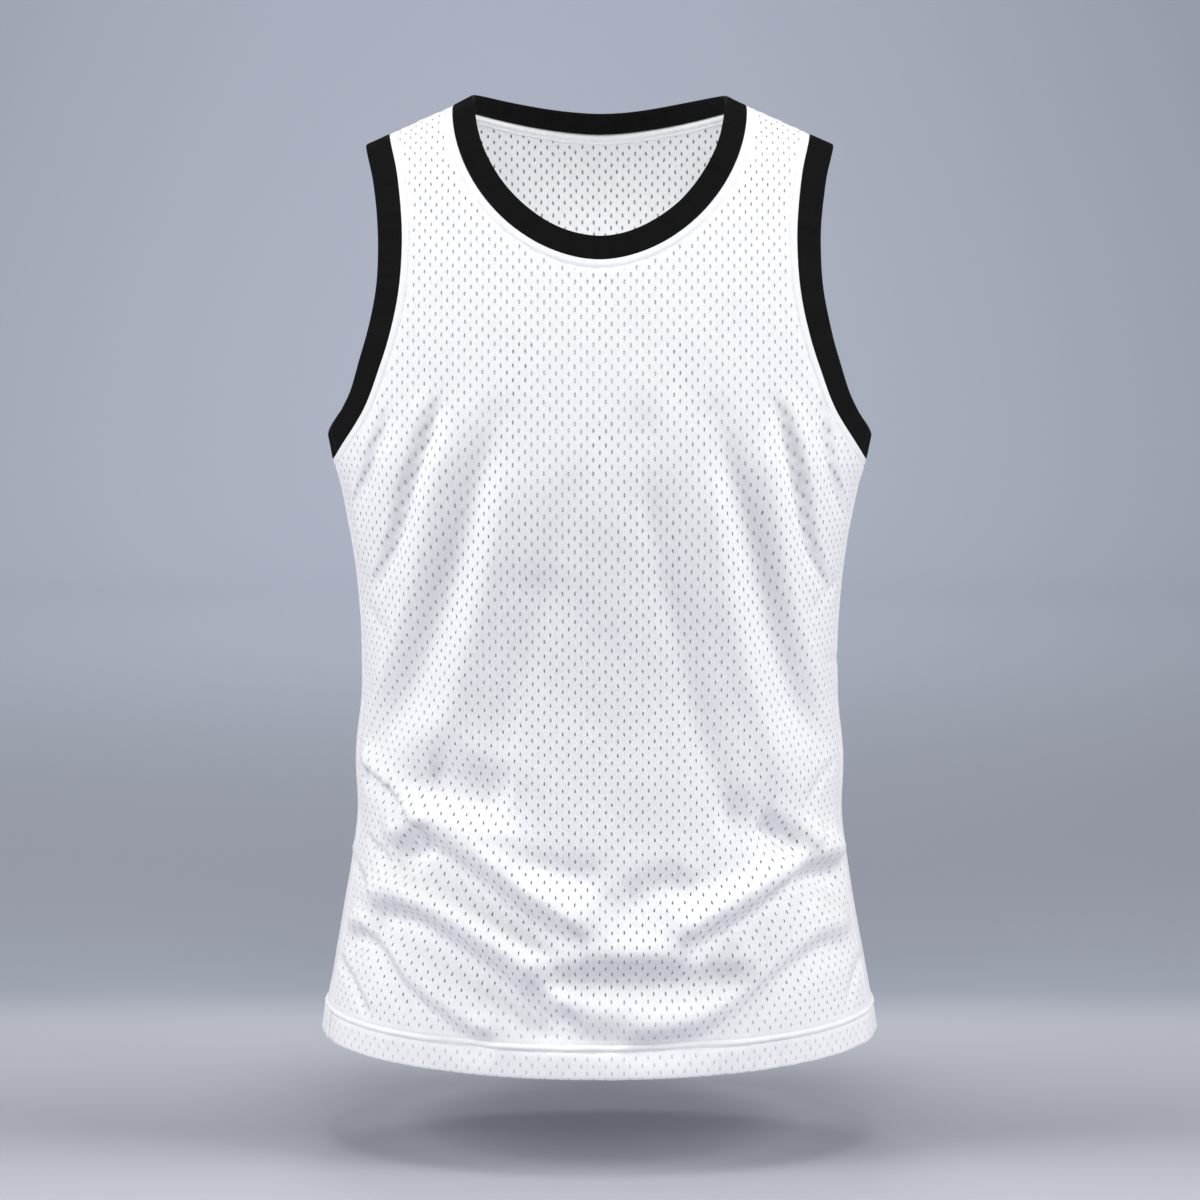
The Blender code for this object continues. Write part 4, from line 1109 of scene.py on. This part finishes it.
def make_binding(name, loop_parts, width, seed):
    """A folded rib band carried round its seam line, standing on into the opening along the cloth's slope."""
    points, normals = zip(*(on_cloth(line, back) for line, back in loop_parts))
    points, normals = np.concatenate(points), np.concatenate(normals)
    run = run_along(np.concatenate([points, points[:1]]))
    count = int(run[-1] / (RIB / 4)) // 4 * 4
    at = np.arange(count) * run[-1] / count
    closed = [np.concatenate([part, part[:1]]) for part in (points, normals)]
    points, normals = (stacked(*(np.interp(at, run, c) for c in part.T)) for part in closed)
    normals = unit(normals)
    per = count / run[-1]
    forward = np.roll(points, -3, axis=0) - np.roll(points, 3, axis=0)
    away = unit(np.cross(forward, normals))
    if np.sum(away * (points.mean(axis=0) - points)) < 0:
        away = -away
    outward, spread = evened(normals, 17 * per), evened(away, 17 * per)
    across, lift = BINDING_PROFILE.T
    near = ease(1 - across / 0.12)[None, :, None]
    up = unit(outward[:, None] * (1 - near) + normals[:, None] * near)
    ribs = np.cos(2 * np.pi * np.arange(count) / 4)
    strength = 0.13 * (1 + 0.35 * waves(seed, 30, 8)(at))
    flat_part = ease((across + 0.02) / 0.08) * ease((0.97 - across) / 0.05)
    relief = ribs[:, None] * strength[:, None] * flat_part[None] * np.sign(lift)[None]
    sway = 0.14 * waves(seed + 1, 140, 60)(at)[:, None] * ease(across / 0.5)[None]
    wide = width * (1 + 0.005 * waves(seed + 2, 120, 50)(at))[:, None]
    rings = (points[:, None] + spread[:, None] * (across[None] * wide)[..., None]
             + up * (lift[None] + relief + sway)[..., None])
    flat = stacked(at[:, None] * (round(run[-1] / RIB) * RIB / run[-1]), (across * width)[None])
    first = rings[[0, 1]][:, [0, 5]]
    turned = np.cross(first[0, 1] - first[0, 0], first[1, 0] - first[0, 0]) @ up[0, 0]
    made = tube_piece(name, rings, "rib", True, flip=turned < 0, flat=flat.reshape(-1, 2), sharp=80.0)


def loop_of(line_of):
    """A closed loop from a seam's front and back halves, which both start at the same place."""
    front, behind = line_of(False), line_of(True)
    return [(front[:-1], False), (behind[::-1][:-1], True)]


def armhole_loop(side):
    return loop_of(lambda back: seam("armhole", back, 1.0) * [side, 1])


# ---------------------------------------------------------------- tape, seam ridges and stitches

TAPE_PROFILE = np.array((        # drop below the neck seam and depth inside the cloth
    (1.4, 0.75), (1.1, 1.5), (1.5, 2.35), (2.6, 2.85), (4.0, 2.85), (5.3, 2.5), (6.2, 1.75), (6.7, 1.6),
    (7.2, 1.9), (8.0, 2.15), (8.9, 1.95), (9.6, 1.35), (9.7, 0.8),
))


def make_tape(name):
    """The neck tape inside the back: a broad roll, a groove and a thin roll, carried along the neck seam."""
    line = whole_neck(True, 1.5)
    girth = line[:, 0]
    line = line[np.abs(girth) < 0.885 * girth.max()][::-1]
    ahead = unit(np.gradient(line, axis=0))
    down = stacked(ahead[:, 1], -ahead[:, 0])
    drop, depth = TAPE_PROFILE.T
    places = line[:, None] + down[:, None] * drop[None, :, None]
    run = run_along(line)
    ends = ease(run / 3) * ease((run[-1] - run) / 3)
    wave = 0.12 * waves(71, 12, 4)(run)[:, None] * (depth > 1.2)[None]
    depth = CLOTH_HALF + 0.1 + (depth[None] - 0.6 + wave) * (0.55 + 0.45 * ends[:, None])
    rings, _ = on_cloth(places, True, -depth)
    flat = stacked(run[:, None], drop[None]).reshape(-1, 2)
    made = tube_piece(name, rings, "tape", flip=True, flat=flat, sharp=70.0)


# across and lift
RIDGE_PROFILE = np.array(((-1.75, -0.2), (-1.5, 0.05), (-1.2, 0.30), (-0.7, 0.52), (0.0, 0.60), (0.7, 0.52),
                          (1.2, 0.30), (1.5, 0.05), (1.75, -0.2)))
RIDGE_BURIED = 0.5          # how far a ridge's underside lies below the cloth's face


def seam_ridge(name, front_line, back_line, across, base):
    """A narrow felled seam: its profile lies half on the front panel and half on the back one."""
    offset, lift = RIDGE_PROFILE.T
    ahead = (offset < 0)[None, :, None]
    sides = [(line[:, None] + np.array(across) * np.abs(offset)[None, :, None], back)
             for line, back in ((front_line, False), (back_line, True))]
    run = run_along(front_line)
    puckers = 1 + 0.25 * waves(81, 14, 5)(run)[:, None]
    rise = base[:, None] + np.where(lift > 0, lift * puckers, lift)
    (front, normals), (behind, _) = (on_cloth(places, back, rise) for places, back in sides)
    outer = np.where(ahead, front, behind)
    middle = np.abs(offset) < 0.01
    outer[:, middle] = (front[:, middle] + behind[:, middle]) / 2
    deep = base[:, None] - RIDGE_BURIED + 0 * offset
    under = np.where(ahead, *(on_cloth(places, back, deep)[0] for places, back in sides))[:, 1:-1][:, ::-1]
    rings = np.concatenate([outer, under], axis=1)
    a, b, c = rings[1, 3], rings[1, 5], rings[2, 3]
    flat = np.repeat(stacked(offset[0], run), rings.shape[1], axis=0)
    turned = np.cross(b - a, c - a) @ normals[1, 3]
    tube_piece(name, rings, "mesh", replaces=False, flip=turned < 0, flat=flat,
               marks={"pierced": np.zeros(len(flat))}, sharp=70.0)


def make_ridges():
    """The side seams, from the lower edge up to the armholes, and the shoulder seams."""
    heights = np.concatenate([np.linspace(-693.4, -640, 40), np.linspace(-638, ARMPIT + 1.0, 190)])
    x = np.linspace(NECK_HALF + 0.5, SHOULDER_HALF - 0.5, 34)
    turn = angle_at(x, shoulder_line(x))
    for side, sign in (("left", 1), ("right", -1)):
        lines = [place_of(np.full_like(heights, SIDE_SEAM), heights, back) * [sign, 1]
                 for back in (False, True)]
        base = np.where(lines[0][:, 1] < 0, hem_outside(-lines[0][:, 1]), CLOTH_HALF)
        seam_ridge(f"side_seam_{side}", *lines, (-1.0 * sign, 0), base)
        lines = [place_of(np.pi - turn if back else turn, shoulder_line(x), back) * [sign, 1]
                 for back in (False, True)]
        seam_ridge(f"shoulder_seam_{side}", *lines, (0, -1.0), np.full(len(x), CLOTH_HALF))


# along the stitch as a share of half its length, share of the lift, and thickness
STITCH = np.array(((-1.0, 0.0, 0.5), (-0.56, 1.0, 1.0), (0.56, 1.0, 1.0), (1.0, 0.0, 0.5)))
WOBBLE = 0.05


def stitch_row(seed, line, back, lift, length=2.3, gap=0.7, radius=0.17, side=1.0):
    """Short threads along a flat line: each a four-sided prism that dips into the cloth at both ends."""
    run = run_along(line)
    count = int(run[-1] / (length + gap))
    rng = np.random.default_rng(seed)
    middle = (np.arange(count) + 0.5) * run[-1] / count
    at = middle[:, None] + (STITCH[:, 0] * length / 2)[None] + rng.normal(0, WOBBLE, (count, 1))
    line_at = stacked(*(np.interp(at, run, part) for part in line.T))
    ahead = unit(stacked(*(np.interp(middle, run, part) for part in np.gradient(line, axis=0).T)))
    square = stacked(-ahead[:, 1], ahead[:, 0])[:, None, None]
    corner = np.arange(4) * np.pi / 2 + np.pi / 4
    thin = STITCH[None, :, 2, None]
    beside = radius * np.cos(corner) * thin
    height = STITCH[:, 1] * lift[1] + (1 - STITCH[:, 1]) * lift[0]
    above = radius * np.sin(corner) * thin + height[None, :, None]
    places = line_at[:, :, None] + square * beside[..., None]
    places = places + square * rng.normal(0, WOBBLE, (count, 1, 1, 1))
    points, _ = on_cloth(places, back, np.broadcast_to(above, places.shape[:-1]) * side)
    return points.reshape(-1, 3), count


def stitch_faces(count, flip):
    """Faces of that many prisms of four rings of four points."""
    one = np.arange(16).reshape(4, 4)
    quads = stacked(one[:-1], np.roll(one[:-1], -1, axis=1), np.roll(one[1:], -1, axis=1), one[1:])
    quads = np.concatenate([quads.reshape(-1, 4), [[3, 2, 1, 0], [12, 13, 14, 15]]])
    quads = quads[:, ::-1] if flip else quads
    return (quads[None] + 16 * np.arange(count)[:, None, None]).reshape(-1, 4)


def make_stitches(name):
    """Every visible row of thread: both margins, the hem's cover stitch and the neck tape."""
    rows = []
    sunk = (-0.25, CLOTH_HALF - 0.02)
    for back in (False, True):
        rows.append(dict(line=beside_line(whole_neck(back, 1.0), 6.4)[6:-6], back=back, lift=sunk))
        for left in (True, False):
            arm = seam("armhole", back, 1.0, left)
            rows.append(dict(line=beside_line(arm, 6.4 if left else -6.4)[8:-6], back=back, lift=sunk))
        girth = seam("side", back, 1.0)[0, 0] - 2
        across = np.linspace(-girth, girth, 400)
        for rise, lift in ((-5.7, (0.0, 0.38)), (-0.2, (0.0, CLOTH_HALF + 0.12))):
            rows.append(dict(line=stacked(across, rise), back=back, lift=lift, length=2.4, gap=0.8))
    neck = whole_neck(True, 1.0)
    neck = neck[np.abs(neck[:, 0]) < 0.87 * neck[:, 0].max()]
    rows.append(dict(line=beside_line(neck, 6.75), back=True, lift=(0.9, 1.55), length=2.2, radius=0.16,
                     side=-1.0))
    points, faces, total = [], [], 0
    for seed, row in enumerate(rows):
        found, count = stitch_row(seed, **row)
        points.append(found)
        faces.append(stitch_faces(count, row["back"] != ("side" in row)) + total)
        total += len(found)
    mesh_piece(name, np.concatenate(points), np.concatenate(faces).tolist(), "thread", replaces=False,
               sharp=60.0)


# ---------------------------------------------------------------- properties, operators and panel

class JerseySizes(bpy.types.PropertyGroup):
    """Sizes that a user would change."""
    hole_width: FloatProperty(name="Hole width", description="Width of a pin hole", default=1.05 * MM,
                              min=0.0005, max=0.002, subtype="DISTANCE", unit="LENGTH", precision=5)
    hole_length: FloatProperty(name="Hole length", description="Length of a pin hole", default=2.6 * MM,
                               min=0.001, max=0.004, subtype="DISTANCE", unit="LENGTH", precision=5)
    floor_gap: FloatProperty(name="Height above the floor", description="From the floor up to the lower edge",
                             default=75 * MM, min=0.0, max=0.5, subtype="DISTANCE", unit="LENGTH")


class JerseyLooks(bpy.types.PropertyGroup):
    """Colours of the studio."""
    backdrop: FloatVectorProperty(name="Backdrop", description="Colour of floor and backdrop",
                                  subtype="COLOR", default=linear("#A6ABB8"), min=0.0, max=1.0)
    # the floor near the jersey is painted lighter than the backdrop: a painted pool of light
    floor: FloatVectorProperty(name="Floor", description="Colour of the floor near the jersey",
                               subtype="COLOR", default=linear("#B6B9C2"), min=0.0, max=1.0)


class JERSEY_OT_panels(bpy.types.Operator):
    """Make the front and back panels of pierced mesh."""
    bl_idname = "jersey.panels"
    bl_label = "Panels"

    def execute(self, context):
        sizes = context.scene.jersey_sizes
        make_panel("front", False, 6, sizes)
        make_panel("back", True, 5, sizes)
        return {"FINISHED"}


class JERSEY_OT_hems(bpy.types.Operator):
    """Make the turned-up lower edges."""
    bl_idname = "jersey.hems"
    bl_label = "Hems"

    def execute(self, context):
        make_hem("hem_front", False)
        make_hem("hem_back", True)
        declare_panel(False)
        declare_panel(True)
        return {"FINISHED"}


class JERSEY_OT_bindings(bpy.types.Operator):
    """Make the black rib bindings of the neck and the armholes."""
    bl_idname = "jersey.bindings"
    bl_label = "Bindings"

    def execute(self, context):
        make_binding("neck_binding", loop_of(lambda back: whole_neck(back, 1.0)), NECK_BINDING_WIDTH, 91)
        make_binding("armhole_binding_left", armhole_loop(1), ARMHOLE_BINDING_WIDTH, 95)
        make_binding("armhole_binding_right", armhole_loop(-1), ARMHOLE_BINDING_WIDTH, 99)
        return {"FINISHED"}


class JERSEY_OT_trim(bpy.types.Operator):
    """Make the neck tape, the seam ridges and the stitches."""
    bl_idname = "jersey.trim"
    bl_label = "Tape, seams and stitches"

    def execute(self, context):
        make_tape("neck_tape")
        make_ridges()
        make_stitches("stitches")
        return {"FINISHED"}


DEEPEST = 4.4               # metres from the jersey to the upright part of the backdrop
PAINTED_BACKDROP_LIGHT = (          # distance in front or behind, and share of the paper's colour that is left there: painted light, with a painted shadow under the jersey
    (0.0, 0.72), (0.1, 0.85), (0.2, 0.99), (0.36, 0.93), (0.46, 0.81), (0.6, 0.75), (0.9, 0.70), (1.4, 0.69),
    (1.8, 0.71), (2.3, 0.775), (2.9, 0.90), (3.4, 1.0), (4.4, 1.0),
)
STRIP = (0.32, 0.48)        # the floor colour, painted lighter round the jersey as a pool of light, gives way to the backdrop's between these distances
BEND, BEND_START = 1.2, 3.2     # radius of the paper's bend and where it starts
HALF_WIDTH, NEAR, HIGH = 9.0, (-9.0, -4.0, 0.0), 6.0
WORLD_COLOUR, WORLD_STRENGTH = "#F3F3F5", 0.22
LIGHTS = (                  # name, place, aim, size and watts
    ("left softbox", (-2.2, -0.8, 0.75), (0, 0, -0.7), (0.9, 1.7), 42),
    ("right softbox", (2.2, -0.8, 0.75), (0, 0, -0.7), (0.9, 1.7), 42),
    ("top softbox", (0, -0.5, 3.2), (0, 0, -0.4), (1.2, 0.9), 31),
    ("front light", (0, -2.6, 0.6), (0, 0, -0.65), (1.6, 0.9), 23),
    ("inner fill", (0, -0.04, -0.16), (0, 0.12, -0.04), (0.16, 0.05), 0.13),
    ("backdrop light", (-0.22, 2.3, 1.45), (-0.22, 3.3, -1.0), (1.3, 1.1), 46),
)
CAMERA_PLACE, CAMERA_DOWN, LENS, SENSOR = (0.0003, -2.856, 0.0195), 7.56, 113.76, 36.0


def add_light(name, place, aim, size, power):
    """A softbox: it lights the scene, but a view doesn't show the lamp itself."""
    data = bpy.data.lights.new(name, "AREA")
    data.shape = "RECTANGLE"
    data.size, data.size_y = size
    data.energy = power
    lamp = bpy.data.objects.new(name, data)
    bpy.context.scene.collection.objects.link(lamp)
    lamp.location = place
    lamp.rotation_euler = (Vector(aim) - Vector(place)).to_track_quat("-Z", "Y").to_euler()
    lamp.visible_camera = False


def seamless_paper(looks):
    """Studio paper, matt pale grey, with painted light: lighter round the jersey, a painted shadow under it,
    darker behind it, lighter again up the wall.
    """
    paper, tree, surface = new_material("seamless paper, pale grey", looks.backdrop, 0.95,
                                        Specular_IOR_Level=0.1)
    place = add_node(tree, "ShaderNodeTexCoord").outputs["Object"]
    away = maths(tree, "ABSOLUTE", add_node(tree, "ShaderNodeSeparateXYZ", Vector=place).outputs[1])
    strip = map_range(tree, away, *STRIP, 1.0, 0.0, True)
    # painted light and shade by distance, with a painted shadow right under the jersey
    shade = add_node(tree, "ShaderNodeValToRGB", Fac=maths(tree, "DIVIDE", away, DEEPEST))
    ramp = shade.color_ramp
    ramp.interpolation = "B_SPLINE"
    for depth, _ in PAINTED_BACKDROP_LIGHT[1:-1]:
        ramp.elements.new(depth / DEEPEST)
    for stop, (depth, tone) in zip(ramp.elements, PAINTED_BACKDROP_LIGHT):
        stop.position, stop.color = depth / DEEPEST, (tone, tone, tone, 1)
    # the lighter floor colour near the jersey: a painted pool of light
    tint = mixed(tree, strip, (*looks.backdrop, 1), (*looks.floor, 1))
    tint = mixed(tree, 1.0, tint, shade.outputs[0], "MULTIPLY")
    tree.links.new(tint, surface.inputs["Base Color"])
    return paper


def make_backdrop(scene):
    """The floor and the wall in one sheet, joined by a quarter round."""
    floor = CAD_BOX[0].z - scene.jersey_sizes.floor_gap
    turn = np.linspace(0, np.pi / 2, 24)
    y = np.concatenate([NEAR, BEND_START + BEND * np.sin(turn), [BEND_START + BEND]])
    z = np.concatenate([np.zeros(len(NEAR)), BEND * (1 - np.cos(turn)), [HIGH]]) + floor
    x = np.linspace(-HALF_WIDTH, HALF_WIDTH, 3)
    points = stacked(x[:, None], y[None], z[None])
    index = np.arange(3 * len(y)).reshape(3, len(y))
    faces = stacked(index[:-1, :-1], index[1:, :-1], index[1:, 1:], index[:-1, 1:]).reshape(-1, 4)
    mesh = bpy.data.meshes.new("backdrop")
    mesh.from_pydata(points.reshape(-1, 3).tolist(), [], faces.tolist())
    mesh.shade_smooth()
    mesh.materials.append(seamless_paper(scene.jersey_looks))
    backdrop = bpy.data.objects.new("backdrop", mesh)
    scene.collection.objects.link(backdrop)


class JERSEY_OT_stage(bpy.types.Operator):
    """Make the floor and backdrop, the studio lights and the camera."""
    bl_idname = "jersey.stage"
    bl_label = "Stage"

    def execute(self, context):
        scene = context.scene
        make_backdrop(scene)
        scene.world = bpy.data.worlds.new("studio")
        scene.world.use_nodes = True
        sky = scene.world.node_tree.nodes["Background"].inputs
        sky["Color"].default_value = (*linear(WORLD_COLOUR), 1)
        sky["Strength"].default_value = WORLD_STRENGTH
        for light in LIGHTS:
            add_light(*light)
        data = bpy.data.cameras.new("camera")
        data.lens, data.sensor_width = LENS, SENSOR
        scene.camera = bpy.data.objects.new("camera", data)
        scene.collection.objects.link(scene.camera)
        scene.camera.location = CAMERA_PLACE
        scene.camera.rotation_euler = (math.radians(90 - CAMERA_DOWN), 0, 0)
        scene.view_settings.view_transform = "Standard"
        return {"FINISHED"}


class JERSEY_PT_sidebar(bpy.types.Panel):
    """Lists the sizes, colours and steps of the jersey."""
    bl_idname = "JERSEY_PT_sidebar"
    bl_label = "Practice jersey"
    bl_space_type = "VIEW_3D"
    bl_region_type = "UI"
    bl_category = "Jersey"

    def draw(self, context):
        for group in (context.scene.jersey_sizes, context.scene.jersey_looks):
            for name in group.__annotations__:
                self.layout.prop(group, name)
        for operator in OPERATORS:
            self.layout.operator(operator.bl_idname)


OPERATORS = (JERSEY_OT_panels, JERSEY_OT_hems, JERSEY_OT_bindings, JERSEY_OT_trim, JERSEY_OT_stage)
CLASSES = (JerseySizes, JerseyLooks) + OPERATORS + (JERSEY_PT_sidebar,)


def register():
    for made in CLASSES:
        bpy.utils.register_class(made)
    bpy.types.Scene.jersey_sizes = PointerProperty(type=JerseySizes)
    bpy.types.Scene.jersey_looks = PointerProperty(type=JerseyLooks)


def unregister():
    del bpy.types.Scene.jersey_looks
    del bpy.types.Scene.jersey_sizes
    for made in reversed(CLASSES):
        bpy.utils.unregister_class(made)


def main():
    register()
    bpy.ops.jersey.panels()
    bpy.ops.jersey.hems()
    bpy.ops.jersey.bindings()
    bpy.ops.jersey.trim()
    bpy.ops.jersey.stage()


if __name__ == "__main__":
    main()
